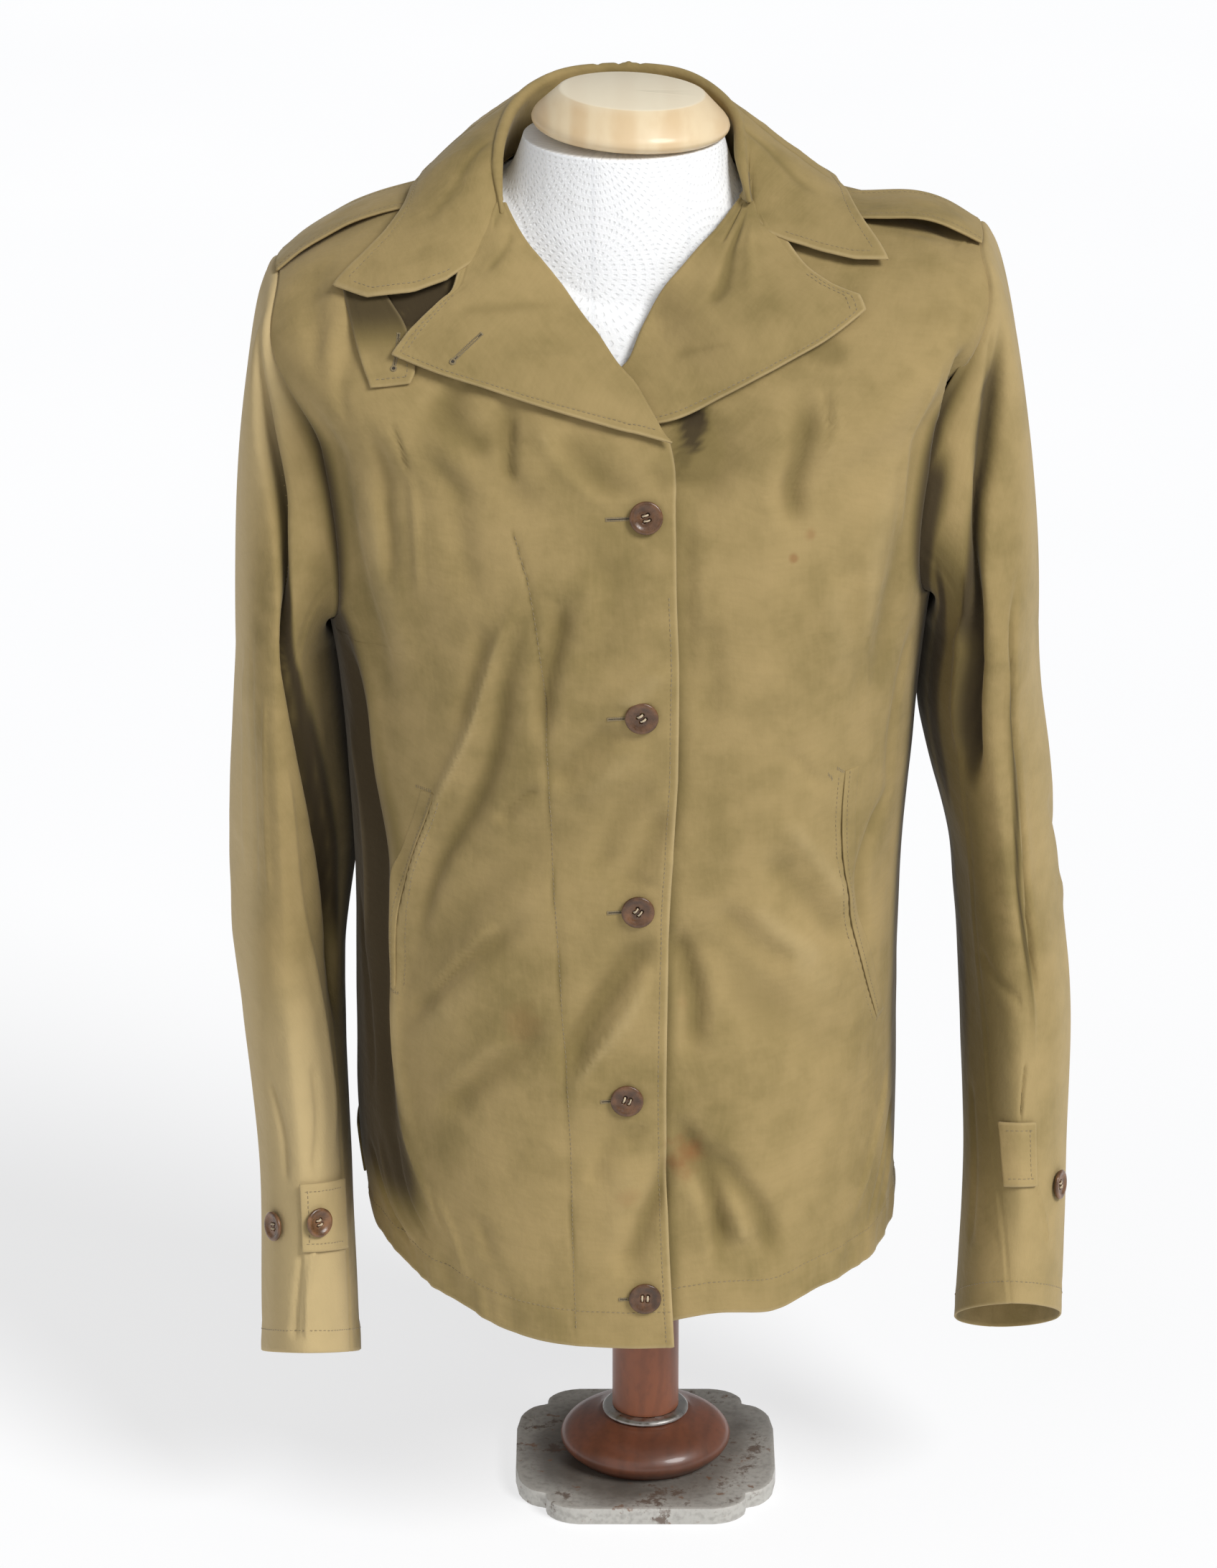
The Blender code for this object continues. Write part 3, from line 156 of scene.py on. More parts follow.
# Creases of the cloth itself: width, depth, then (angle, level) points along each.
BODY_CREASES = (
    # right front, from the top down
    (3.6, -2.4, (-37, 0.916), (-41, 0.858), (-41.5, 0.814), (-44.5, 0.766)),
    (1, -1.3, (-34, 0.922), (-33, 0.902), (-34.5, 0.878)),
    (2, 1, (-34, 0.888), (-34.5, 0.854), (-35, 0.812), (-36.5, 0.764)),
    (4.8, -4, (-30.5, 0.948), (-25.5, 0.936), (-21, 0.926), (-16.5, 0.916)),
    (2, -3.2, (-18.5, 0.95), (-15.5, 0.936), (-14.5, 0.91), (-15.5, 0.888)),
    (4.8, -1.6, (-20.5, 0.95), (-16.5, 0.94), (-15, 0.922)),
    (5.6, -1.8, (-24.5, 0.906), (-25.5, 0.85), (-25, 0.798), (-24.5, 0.762)),
    (2.8, 2.2, (-13, 0.946), (-8.5, 0.926), (-5, 0.896), (-2.5, 0.87)),
    (5.6, -3.2, (-9, 0.942), (-4.5, 0.916), (-1, 0.876)),
    (2, -1.4, (1.5, 0.922), (2.5, 0.904), (3, 0.88)),
    (4, -3.6, (-14, 0.766), (-19.5, 0.698), (-23.5, 0.612), (-29, 0.55), (-38.5, 0.484), (-45.5, 0.412),
     (-48.5, 0.358)),
    (2.4, 3, (-14, 0.794), (-19.5, 0.738), (-24.5, 0.68), (-29.5, 0.618), (-37.5, 0.554), (-45, 0.486),
     (-50, 0.428), (-52, 0.37)),
    (4, -2.2, (-23.5, 0.754), (-24.5, 0.712), (-27.5, 0.672), (-32, 0.62)),
    (3.2, -4.6, (-8.5, 0.79), (-9.5, 0.742), (-11.5, 0.7), (-13, 0.66), (-14.5, 0.61)),
    (4.8, -2, (-2, 0.84), (-2, 0.792), (-3.5, 0.734), (-5, 0.68)),
    (3.6, 1.5, (-4, 0.812), (-4.5, 0.76), (-5.5, 0.704)),
    (3.2, 2, (4, 0.7), (1, 0.672), (-1, 0.65)),
    (5.2, -3.4, (-1, 0.644), (-4.5, 0.616), (-9, 0.592), (-13, 0.568)),
    (4, 1.5, (0, 0.626), (-2.5, 0.588), (-8.5, 0.556)),
    (4, -2.5, (2.5, 0.588), (-2, 0.528), (-5, 0.472)),
    (2.4, -2.1, (-13.5, 0.574), (-19, 0.556), (-24, 0.528)),
    (3.6, -3, (4.5, 0.56), (2.5, 0.512), (0.5, 0.478), (-1, 0.452)),
    (4, 1.4, (6.5, 0.506), (2, 0.472)),
    (5.2, -3.8, (-16.5, 0.45), (-24, 0.412), (-33, 0.382), (-43.5, 0.338), (-51, 0.296)),
    (2.4, 1.9, (-24, 0.428), (-33.5, 0.392), (-41.5, 0.354), (-47.5, 0.328)),
    (6, -3.4, (-12.5, 0.338), (-20.5, 0.298), (-30, 0.262), (-41.5, 0.216)),
    (4, 1.7, (-19.5, 0.322), (-30, 0.284), (-42.5, 0.232)),
    (4.8, -5.6, (2, 0.436), (0.5, 0.396), (-3.5, 0.356), (-7.5, 0.316), (-10, 0.27)),
    (2.4, 2.8, (2.5, 0.406), (1, 0.36), (-1.5, 0.326), (-6.5, 0.288), (-10, 0.256)),
    (3.2, -2, (0, 0.24), (-3, 0.208), (-6, 0.164)),
    (2, -1.7, (2.5, 0.234), (-0.5, 0.208)),
    (4, -4.4, (7.5, 0.22), (5.5, 0.172), (2.5, 0.136), (0.5, 0.098), (-0.5, 0.06)),
    (4.8, 1.5, (0, 0.21), (-0.5, 0.15), (-1.5, 0.094)),
    (3.6, -1.3, (-31, 0.124), (-29, 0.096), (-28.5, 0.07)),
    (2, -1.8, (-71, 0.146), (-62.5, 0.074), (-51, 0.038)),
    (2, 1.7, (-64.5, 0.164), (-57.5, 0.086), (-47.5, 0.048)),
    (2, -1.8, (-59, 0.188), (-52.5, 0.102), (-44, 0.06)),
    (1.6, 1.4, (-54.5, 0.204), (-45.5, 0.126), (-39, 0.074)),
    (1.6, 1.3, (-43, 0.134), (-38, 0.09), (-35.5, 0.036)),
    (4, -2, (-66, 0.7), (-62, 0.56), (-58, 0.44)),
    (4, 1.6, (-74, 0.62), (-68, 0.48), (-70, 0.33)),
    (3, -1.6, (-78, 0.42), (-70, 0.3), (-66, 0.18)),
    (6, -5, (-68, 0.74), (-66, 0.64), (-65, 0.56), (-61, 0.47), (-62, 0.37), (-62, 0.27), (-57, 0.18),
     (-49, 0.11)),
    (4, 2.6, (-60, 0.72), (-58, 0.64), (-57, 0.56), (-53, 0.47), (-54, 0.37), (-54, 0.27), (-50, 0.19),
     (-43, 0.13)),
    # left front, from the top down
    (5.6, -5, (11, 0.958), (8.5, 0.946), (7, 0.932), (6, 0.885)),
    (3.2, -2.2, (6.5, 0.884), (7, 0.806), (7.5, 0.724), (8, 0.642)),
    (4.8, -1.7, (10, 0.762), (11.5, 0.682), (11, 0.624)),
    (4.4, -5, (29, 0.948), (22.5, 0.924), (22.5, 0.89), (24.5, 0.852), (26, 0.825)),
    (1, -2, (30, 0.945), (27.5, 0.928), (27, 0.902)),
    (1.4, 1.4, (28.5, 0.938), (26.5, 0.89)),
    (4.8, -1.3, (38, 0.804), (43.5, 0.696), (46, 0.612)),
    (5.6, 1.1, (33.5, 0.79), (38.5, 0.664)),
    (4.8, 1.9, (26, 0.542), (38, 0.476), (52, 0.402)),
    (6, -3.2, (23, 0.506), (34.5, 0.442), (51.5, 0.366)),
    (2.4, -1.1, (27, 0.606), (38, 0.548)),
    (4.8, 1.6, (19, 0.456), (29.5, 0.41), (41.5, 0.368)),
    (5.6, -2.8, (14.5, 0.452), (23, 0.406), (33.5, 0.368)),
    (4.4, -4.6, (6, 0.436), (9.5, 0.386), (11.5, 0.344), (11, 0.286)),
    (5.6, 1.3, (13.5, 0.41), (16, 0.33)),
    (4.8, -5.2, (7.5, 0.246), (11, 0.208), (14, 0.176), (17, 0.128), (17, 0.074)),
    (4.8, -3.9, (12.5, 0.216), (19.5, 0.172), (27, 0.118), (29, 0.06)),
    (4, 2.4, (17.5, 0.162), (23, 0.096)),
    (3.6, 1.6, (10, 0.182), (14, 0.124), (14.5, 0.082)),
    (1.6, 1.7, (74, 0.212), (62.5, 0.134), (52.5, 0.07)),
    (1.6, -1.8, (78, 0.168), (68, 0.104), (59, 0.04)),
    (1.6, 1.5, (76.5, 0.134), (71.5, 0.078), (65.5, 0.036)),
    (4.4, -2.8, (65.5, 0.526), (56.5, 0.48), (53, 0.432), (59, 0.354)),
    (3.6, -4.4, (55, 0.918), (63.5, 0.874), (63, 0.854), (61.5, 0.826)),
    (2, -1.3, (90, 0.958), (83, 0.95), (77, 0.942)),
    (2, 1.2, (80, 0.96), (74, 0.954), (66.5, 0.946)),
    (2.4, -1.2, (65.5, 0.938), (55.5, 0.918)),
    (2.4, 1.4, (51, 0.934), (49.5, 0.876), (54, 0.778)),
    (4, -1.8, (66, 0.7), (62, 0.6), (63, 0.5)),
    # right shoulder and chest
    (2.8, -1.8, (-77.5, 0.952), (-59, 0.94), (-51.5, 0.924)),
    (2.8, 1.4, (-68.5, 0.954), (-55, 0.942), (-46.5, 0.924)),
    (3.6, -1.2, (-56.5, 0.95), (-48, 0.938), (-43.5, 0.9)),
    # sides and back
    (5, -3, (108, 0.7), (126, 0.64), (150, 0.61)),
    (3.4, 1.8, (104, 0.64), (124, 0.59), (146, 0.566)),
    (5, -3.2, (-106, 0.69), (-124, 0.62), (-152, 0.59)),
    (3.2, 1.9, (-102, 0.62), (-126, 0.57), (-148, 0.552)),
    (6, -2.8, (102, 0.5), (130, 0.43), (164, 0.4)),
    (6, -3, (-104, 0.48), (-134, 0.42), (-160, 0.396)),
    (4, 1.7, (-110, 0.44), (-140, 0.384), (-166, 0.35)),
    (5, -3.6, (170, 0.9), (172, 0.8), (168, 0.64)),
    (4, 2.2, (178, 0.88), (179, 0.76), (175, 0.6)),
    (5, -2.8, (-164, 0.84), (-160, 0.72), (-163, 0.58)),
    (5, -3.4, (-172, 0.38), (-166, 0.24), (-168, 0.07)),
    (4.4, 2.2, (-180, 0.34), (-177, 0.2), (-180, 0.06)),
    (4.4, -3, (156, 0.32), (150, 0.18), (152, 0.05)),
    (4, 2, (146, 0.26), (140, 0.14), (143, 0.04)),
    (4, -3, (-142, 0.28), (-136, 0.15), (-139, 0.04)),
    (3.4, 1.8, (-130, 0.23), (-126, 0.11), (-129, 0.03)),
    (3, -2.2, (116, 0.22), (112, 0.12), (116, 0.03)),
    (3, -2.2, (96, 0.26), (92, 0.16), (94, 0.06)),
    (3, -2.2, (-98, 0.24), (-92, 0.13), (-95, 0.04)),
)
EDGE_RIGHT = table(
    "row angle level",
    (0, 6.8, 0), (0.12, 6.5, 0.12), (0.26, 6, 0.26), (0.44, 5.8, 0.44), (0.58, 6.4, 0.58), (0.7, 6, 0.7),
    (0.82, 5, 0.868), (0.84, 4.4, 0.903), (0.86, 4, 0.934), (0.88, 1.8, 0.956), (0.9, -2, 0.975),
    (0.92, -9, 0.985), (0.94, -15, 0.991), (0.955, -27, 0.9975), (0.97, -40, 0.999), (0.985, -53, 0.998),
    (1, -66, 1),
)
EDGE_LEFT = table(
    "row angle level",
    (0, -10, 0), (0.7, -10, 0.7), (0.82, -10, 0.868), (0.84, -10, 0.905), (0.86, -9, 0.938),
    (0.88, -4, 0.962), (0.9, 0, 0.975), (0.92, 4, 0.987), (0.94, 11, 0.996), (0.955, 23, 1.005),
    (0.97, 36, 1.01), (0.985, 49, 1.0085), (1, 61, 1.006),
)
HEM_RIGHT = table(
    "angle level",
    (-180, 0.004), (-150, 0.006), (-120, 0.011), (-90, 0.018), (-73.5, 0.021), (-51.5, 0.017),
    (-35, 0.01), (-27, 0.003), (-16, 0), (12, 0),
)
HEM_LEFT = table(
    "angle level",
    (-16, 0.014), (0, 0.021), (16.5, 0.03), (29.5, 0.018), (40, 0.02), (54, 0.012), (80, 0.002),
    (110, 0.002), (180, 0.004),
)
HEM_BLEND = 0.14
OVERLAP_BLEND = (9.0, 24.0)
UNDER_DEPTH = 4.0
LAPEL_RIGHT = table(
    "roll_angle roll_level angle level lift",
    (3.6, 0.938, 4.2, 0.933, 1.4),
    (0.8, 0.963, -3, 0.944, 2.2),
    (-2.5, 0.975, -12, 0.95, 2.8),
    (-7, 0.984, -22.5, 0.952, 3.2),
    (-12, 0.989, -33, 0.95, 3.8),
    (-19, 0.994, -41.2, 0.948, 4.4),
    (-27, 0.998, -42.8, 0.9575, 4.2),
    (-37, 1, -44.2, 0.969, 3.8),
    (-48, 1, -46.4, 0.9805, 3.4),
    (-66, 1.001, -63, 0.9975, 3),
)
LAPEL_LEFT = table(
    "roll_angle roll_level angle level lift",
    (-6.5, 0.953, -4.5, 0.944, 1.4),
    (-2.3, 0.968, 4, 0.947, 1.4),
    (0.5, 0.977, 14, 0.955, 1.8),
    (4, 0.987, 27.5, 0.958, 2.6),
    (8.5, 0.994, 38, 0.9575, 3.4),
    (14.5, 1, 48.2, 0.957, 4.2),
    (24, 1.006, 51, 0.9615, 4),
    (38, 1.01, 51, 0.972, 3.8),
    (51, 1.008, 55.4, 0.9862, 3.4),
    (70, 1.004, 66.5, 0.9985, 3),
)
LAPEL_BOW = 1.6
COLLAR = table(
    "station seam seam_level roll_x roll_y roll_z edge_angle edge_level edge_lift bulge",
    (-68, -70, 1, -75.5, -37.5, 744, -64, 0.952, 5, 4),
    (-82, -84, 1, -78, -20, 763, -71.5, 0.971, 5, 5),
    (-105, -105, 1, -73, 12, 780, -95, 0.98, 4.5, 3.5),
    (-140, -140, 1, -52, 48, 791, -135, 0.9725, 4.5, 1),
    (-180, -180, 1, -14, 61, 793, -180, 0.963, 4, 1.5),
    (-220, -220, 1, 24, 48, 791, -225, 0.9705, 4.5, -1),
    (-255, -255, 1.001, 46, 12, 779, -261, 0.978, 4.5, 0),
    (-278, -276, 1.0025, 48, -18, 764, -285, 0.9725, 5, 3),
    (-290, -288, 1.005, 51.5, -36, 749.5, -296.2, 0.962, 5, 4),
)
COLLAR_END_RIGHT = table(
    "share angle level",
    (0, -66.5, 1), (0.15, -64.8, 0.9972), (0.3, -56.8, 0.991), (0.42, -49.6, 0.983), (0.56, -48.4, 0.975),
    (0.7, -50.3, 0.9665), (0.85, -56, 0.9565), (1, -64, 0.952),
)
COLLAR_END_LEFT = table(
    "share angle level",
    (0, 70.5, 1), (0.15, 67.5, 0.9975), (0.3, 62.8, 0.995), (0.42, 59, 0.99), (0.56, 58.6, 0.985),
    (0.7, 59.2, 0.977), (0.85, 60.6, 0.9695), (1, 63.8, 0.962),
)
COLLAR_END_SHARE = 0.13
ROLL_RADIUS = 2.4
COLLAR_RISE = 1.2
COLLAR_END_LIFT = 5.0
SLEEVE_RIGHT = table(
    "share x y z half_x front back lean swing",
    (0, -195, -4, 500, 24, 74, 66, 0, 0),
    (0.25, -195, 0, 415, 28, 68, 64, 2, 14),
    (0.45, -194, 2, 345, 30, 63, 60, 6, 18),
    (0.62, -192, -6, 284, 28, 60, 58, 11, 22),
    (0.82, -186, -28, 194, 25, 58, 57, 18, 26),
    (1, -184, -52, 98, 27, 56, 56, 25, 26),
)
SLEEVE_LEFT = table(
    "share x y z half_x front back lean swing",
    (0, 180, -4, 510, 27.5, 74, 66, 0, 0),
    (0.1, 180.5, -2, 477, 29, 71, 65, 1, 6),
    (0.21, 184.5, 0, 441, 29, 68, 64, 2, 12),
    (0.42, 193, 2, 366, 28, 63, 60, 6, 15),
    (0.6, 200, -5, 298, 30, 60, 58, 12, 5),
    (0.8, 201, -26, 208, 28, 58, 57, 20, -8),
    (1, 198, -52, 119, 29, 56, 56, 33, -30),
)
# Deep shade under the collar and beside the lapels: angle, level, radius along both, strength.
NICHES = (
    (8.6, 0.953, 5.5, 9, 1), (7, 0.94, 4, 9, 0.9), (5.4, 0.925, 3.5, 9, 0.6), (-51, 0.968, 12, 9, 1),
    (-46, 0.967, 9, 8, 1), (36, 0.956, 9, 5, 0.4),
)
# Where the shade of the right sleeve starts on the body.
SHELTER = table(
    "level angle",
    (0, 52), (0.13, 49), (0.2, 55), (0.28, 61), (0.34, 60), (0.39, 57), (0.48, 53), (0.58, 58), (0.66, 61),
    (0.8, 66), (1, 70),
)
SLEEVE_FOLDS = table(
    "angle share_0 share_1 width depth",
    (52, 0.05, 0.5, 15, -3),
    (18, 0.1, 0.62, 17, 1.8),
    (95, 0.1, 0.55, 13, 2),
    (-50, 0.1, 0.55, 16, -2.6),
    (150, 0.3, 0.75, 17, -2),
    (70, 0.55, 0.95, 15, -1.6),
    (215, 0.35, 0.8, 16, 1.6),
)
FOLD_FADE = 0.3
# Creases of the sleeves: width, depth, (turn, share) points; share -1 is the armhole, 0 the underarm.
CREASES_RIGHT = (
    (4.6, -8, (16, -0.88), (40, -0.79), (53, -0.64), (72, -0.47), (98, -0.27), (112, 0), (119, 0.212),
     (124, 0.35), (130, 0.482), (133, 0.64)),
    (1.6, -1.8, (-44, -1), (-52, -0.92), (-58, -0.8)),
    (2, 1.7, (-30, -0.98), (-49, -0.86), (-56, -0.72)),
    (1.8, 0.9, (48, -0.08), (39, 0.158), (39, 0.375)),
    (1.8, -0.9, (60, -0.14), (53, 0.145), (51, 0.417)),
    (1.8, 0.9, (74, 0.018), (67, 0.198), (66, 0.408)),
    (2.2, 1.6, (95, 0.13), (96, 0.395), (105, 0.527), (113, 0.645), (117, 0.74), (109, 0.802)),
    (2.8, -1.4, (97, 0.67), (98, 0.745), (89, 0.812)),
    (2, 1.7, (89, 0.878), (79, 0.927), (75, 0.99)),
    (2.4, -1.4, (73, 0.888), (67, 0.938), (63, 0.99)),
    (2.4, -1.4, (50, 0.69), (59, 0.76), (58, 0.82)),
    (9, -0.6, (30, 0.3), (10, 0.42), (-30, 0.47)),
    (14, 0.3, (20, 0.48), (-10, 0.55), (-50, 0.58)),
)
CREASES_LEFT = (
    (5.4, -8, (33, -0.88), (47, -0.75), (57, -0.64), (65, -0.55), (84, -0.45), (102, -0.3), (113, -0.07),
     (108, 0.11), (106, 0.24)),
    (2, -1.8, (42, -0.92), (55, -0.72)),
    (2.6, -3.8, (52, -0.23), (66, -0.07), (64, 0.058), (60, 0.193), (60, 0.345), (66, 0.49), (71, 0.62)),
    (2, 1.8, (69, -0.13), (68, 0.107), (66, 0.24), (68, 0.427), (73, 0.583), (75, 0.69)),
    (3.2, 2.4, (96, -0.5), (126, -0.1), (118, 0.193)),
    (2.8, -1.2, (126, 0.525), (108, 0.573), (83, 0.603)),
    (1.6, -1.8, (84, 0.68), (92, 0.725), (96, 0.753)),
    (1.2, 1.2, (75, 0.83), (64, 0.878), (56, 0.92)),
    (2.4, -1.2, (156, 0.71), (155, 0.812), (163, 0.925)),
    (5, -1.4, (26, 0.28), (0, 0.38), (-36, 0.43)),
    (5, 1, (20, 0.43), (-14, 0.5), (-46, 0.52)),
)
# Strips of painted shade on the sleeves, in deep folds and against the body: width, strength, (turn, share)
# points.
SHADES_RIGHT = (
    (4.6, 1, (16, -0.9), (40, -0.74), (53, -0.61), (78, -0.45), (101, -0.32), (120, 0), (124, 0.2),
     (130, 0.37), (136, 0.52), (128, 0.62)),
    (8, 0.95, (118, -0.1), (128, 0.16), (134, 0.33), (140, 0.48), (138, 0.58)),
)
SHADES_LEFT = (
    (5, 1, (36, -0.85), (47, -0.74), (54, -0.62), (66, -0.52), (88, -0.42), (113, -0.21), (113, 0.06),
     (106, 0.24), (106, 0.32)),
    (11, 0.9, (52, -0.68), (70, -0.56), (94, -0.44), (112, -0.3), (116, -0.1), (114, 0.1), (108, 0.24),
     (104, 0.34)),
    (12, 1, (84, -0.96), (110, -0.8), (132, -0.56), (144, -0.3), (148, 0), (147, 0.148), (142, 0.3),
     (140, 0.42)),
    (2.6, 0.85, (52, -0.23), (67, -0.093), (67, 0.074), (67, 0.24), (72, 0.43), (74, 0.62), (74, 0.7)),
)
CREASES_BACK = (
    (4.6, -3.4, (190, -0.5), (214, -0.2), (226, 0.1), (236, 0.3)),
    (3.8, 2, (176, -0.3), (200, 0), (212, 0.24)),
    (4.2, -3.2, (-72, 0.06), (-58, 0.2), (-64, 0.36)),
    (3.4, 1.9, (-60, -0.1), (-44, 0.12), (-48, 0.32)),
    (3.4, -3, (196, 0.33), (226, 0.4), (262, 0.41)),
    (3, 1.8, (200, 0.39), (230, 0.45), (258, 0.456)),
    (3.4, -2.8, (190, 0.48), (222, 0.52), (256, 0.5)),
    (3.2, -2.2, (232, 0.6), (244, 0.72), (236, 0.84)),
    (3.2, -2.2, (-30, 0.64), (-36, 0.76), (-28, 0.9)),
    (3, -2, (-40, -0.96), (-64, -0.7), (-70, -0.4)),
    (3, 1.6, (-56, -0.96), (-80, -0.66), (-86, -0.3)),
)
# Where the front seam of each sleeve runs.
SLEEVE_SEAM = table(
    "share right left",
    (-1, 120, 118), (0, 120, 118), (0.38, 120, 119), (0.56, 122, 131), (0.72, 124, 130), (1, 124, 125),
)
# Creases of the lapels: width, depth, then (share up the roll, share out to the edge) points.
LAPEL_CREASES_RIGHT = (
    (6, -0.8, (0.6, 0.1), (0.66, 0.5), (0.72, 0.8)),
    (5, 0.7, (0.3, 0.3), (0.45, 0.6)),
    (3, -0.9, (0.93, 0.05), (0.88, 0.4), (0.84, 0.7)),
    (3, -0.8, (0.99, 0.1), (0.95, 0.6)),
)
LAPEL_CREASES_LEFT = (
    (4, -2, (0.98, 0.45), (0.8, 0.42), (0.64, 0.36), (0.54, 0.3)),
    (4, 1.2, (0.94, 0.62), (0.78, 0.56), (0.64, 0.48)),
    (2.4, -1.2, (0.99, 0.2), (0.9, 0.26), (0.82, 0.3)),
    (2.4, -1, (0.99, 0.75), (0.92, 0.8)),
    (5, -0.7, (0.3, 0.25), (0.42, 0.6)),
)
# Creases of the collar: width, depth, then (share round, share from the roll to the edge) points.
COLLAR_CREASES = (
    (3, -1.6, (0.5, 0), (0.498, 0.2), (0.502, 0.55)),
    (2.6, 1, (0.522, 0), (0.52, 0.4)),
    (2.8, -1.4, (0.548, 0), (0.55, 0.2), (0.545, 0.6)),
    (3, -1.2, (0.45, 0), (0.446, 0.5)),
    (4, -1.3, (0.78, 0.1), (0.83, 0.5), (0.87, 0.85)),
    (3, 0.9, (0.76, 0.2), (0.8, 0.6), (0.83, 0.9)),
    (3, -1.1, (0.86, 0.05), (0.905, 0.45), (0.93, 0.75)),
    (3, -1, (0.7, 0.1), (0.74, 0.6), (0.77, 0.9)),
    (4, -0.9, (0.24, 0.1), (0.2, 0.6), (0.17, 0.95)),
    (3.6, 0.8, (0.28, 0.1), (0.24, 0.6)),
    (3, -1, (0.12, 0.1), (0.08, 0.5), (0.06, 0.8)),
    (3.4, -0.9, (0.34, 0.05), (0.33, 0.7)),
)
SLEEVE_SQUARE_X = 1.12
SLEEVE_SQUARE_Y = 0.96
FRONT_SEAM = 120.0
BACK_SEAM = 255.0
SEAM_SPREAD = 60.0
TURN_MM = 1.02          # cloth length of one degree round a sleeve, of its cap and of its length below
CAP_MM = 150.0
SHARE_MM = 420.0
THROAT_TAB = table(
    "outer_angle outer_level inner_angle inner_level",
    (-65, 0.9545, -60.5, 0.9635),
    (-59.5, 0.952, -54.8, 0.961),
    (-53, 0.948, -46, 0.9583),
    (-46.5, 0.942, -39.5, 0.953),
    (-42, 0.9362, -36, 0.9475),
    (-40.2, 0.933, -34.8, 0.9425),
)
POCKET_RIGHT = table(
    "angle level",
    (-38.5, 0.556), (-41, 0.53), (-44.5, 0.5), (-48.5, 0.462), (-51.2, 0.425), (-52.6, 0.385),
    (-53.5, 0.336),
)
POCKET_LEFT = table(
    "angle level",
    (44, 0.562), (44.2, 0.52), (45.5, 0.475), (48, 0.43), (52, 0.38), (57.5, 0.328), (64, 0.275),
)
WELT_WIDTH = 4.4
# Bar tacks that close the pockets' ends, each from one (angle, level) to another.
TACKS_RIGHT = (((-44.5, 0.560), (-39.0, 0.557)), ((-56.5, 0.334), (-52.0, 0.332)))
TACKS_LEFT = (
    ((38.5, 0.566), (40.5, 0.557)), ((41.0, 0.569), (44.0, 0.561)), ((63.5, 0.272), (67.5, 0.276)),
)
TAB_LIFT = 0.5
TAB_WALL = 1.5
CUFF_TAB_LIFT = 1.1
STRAP_LEVELS = (0.9395, 0.9835)
STRAP_RIGHT = (16.0, -25.0)
STRAP_LEFT = (22.0, -20.0)
SIDE_TAB_LEVELS = (0.055, 0.117)
SIDE_TAB_LENGTH = 26.0
BUTTON_RADIUS = 8.6
CUFF_BUTTON_RADIUS = 8.0
FRONT_BUTTONS = table("angle level", (1.5, 0.862), (1.0, 0.646), (1.0, 0.446), (0.0, 0.258), (2.0, 0.054))
CUFF_BUTTONS = table(
    "side number turn share lift",
    (-1, 1, 88, 0.861, 2.5),
    (-1, 2, 45.5, 0.868, 0.5),
    (1, 1, 40, 0.84, 0.1),
)
# The stitch line down the right front that holds its facing.
FACING_LINE = table(
    "angle level",
    (-16, 0.85), (-15, 0.822), (-14, 0.796), (-13.5, 0.76), (-13.3, 0.7), (-13, 0.608), (-12.5, 0.496),
    (-11.5, 0.402), (-10.8, 0.34), (-10, 0.28), (-9.5, 0.208), (-9.5, 0.164), (-10, 0.066), (-10.3, 0.01),
)
FORM_INSET = table(
    "level inset side_extra front_extra",
    (0.22, 26, 4, 2),
    (0.44, 30, 6, 3),
    (0.58, 22, 8, 3),
    (0.7, 13, 12, 4),
    (0.8, 9, 16, 5),
    (0.88, 6, 18, 8),
    (0.94, 3.6, 16, 9),
    (0.97, 3.4, 0, 9),
    (1, 3, 0, 8),
)
NECK_CENTRE = (-13.0, 2.0)
NECK_HALF = (52.0, 50.0)
NECK_TOP = 772.0
CAP_CENTRE = (-9.5, 1.0)
CAP_LEAN = 3.0
CAP_PROFILE = table(
    "radius height",
    (0, 20.5), (36.5, 20.5), (38.4, 19.9), (49.4, 9), (50.8, 7), (51.5, 5), (51.2, 3.4), (50, 1.6),
    (47.5, 0), (0, 0),
)
FLANGE_PROFILE = table(
    "radius height",
    (0, 24), (25, 24), (26.8, 23), (29.4, 21.8), (33.8, 20.4), (38, 19), (41.4, 17.4), (44.6, 15),
    (46.6, 12.4), (47.5, 9.8), (47.2, 7.6), (45.8, 5.2), (43.2, 2.8), (41, 1), (40, 0), (0, 0),
)
RING_PROFILE = table(
    "radius height",
    (0, 3.6), (21.9, 3.6), (23.2, 3), (23.9, 2.2), (23.9, 1.2), (23.4, 0.5), (22.7, 0), (0, 0),
)
PLATE_CORNER = table(
    "x y",
    (37, 72.5), (41.8, 71.6), (46, 70), (49.6, 67.6), (52.5, 64.5), (54.6, 61.1), (55.3, 57.5),
    (55.3, 54), (57.6, 52.8), (60, 52), (63.4, 50), (66, 47), (68.7, 42.7), (70.5, 38), (72.5, 24),
)
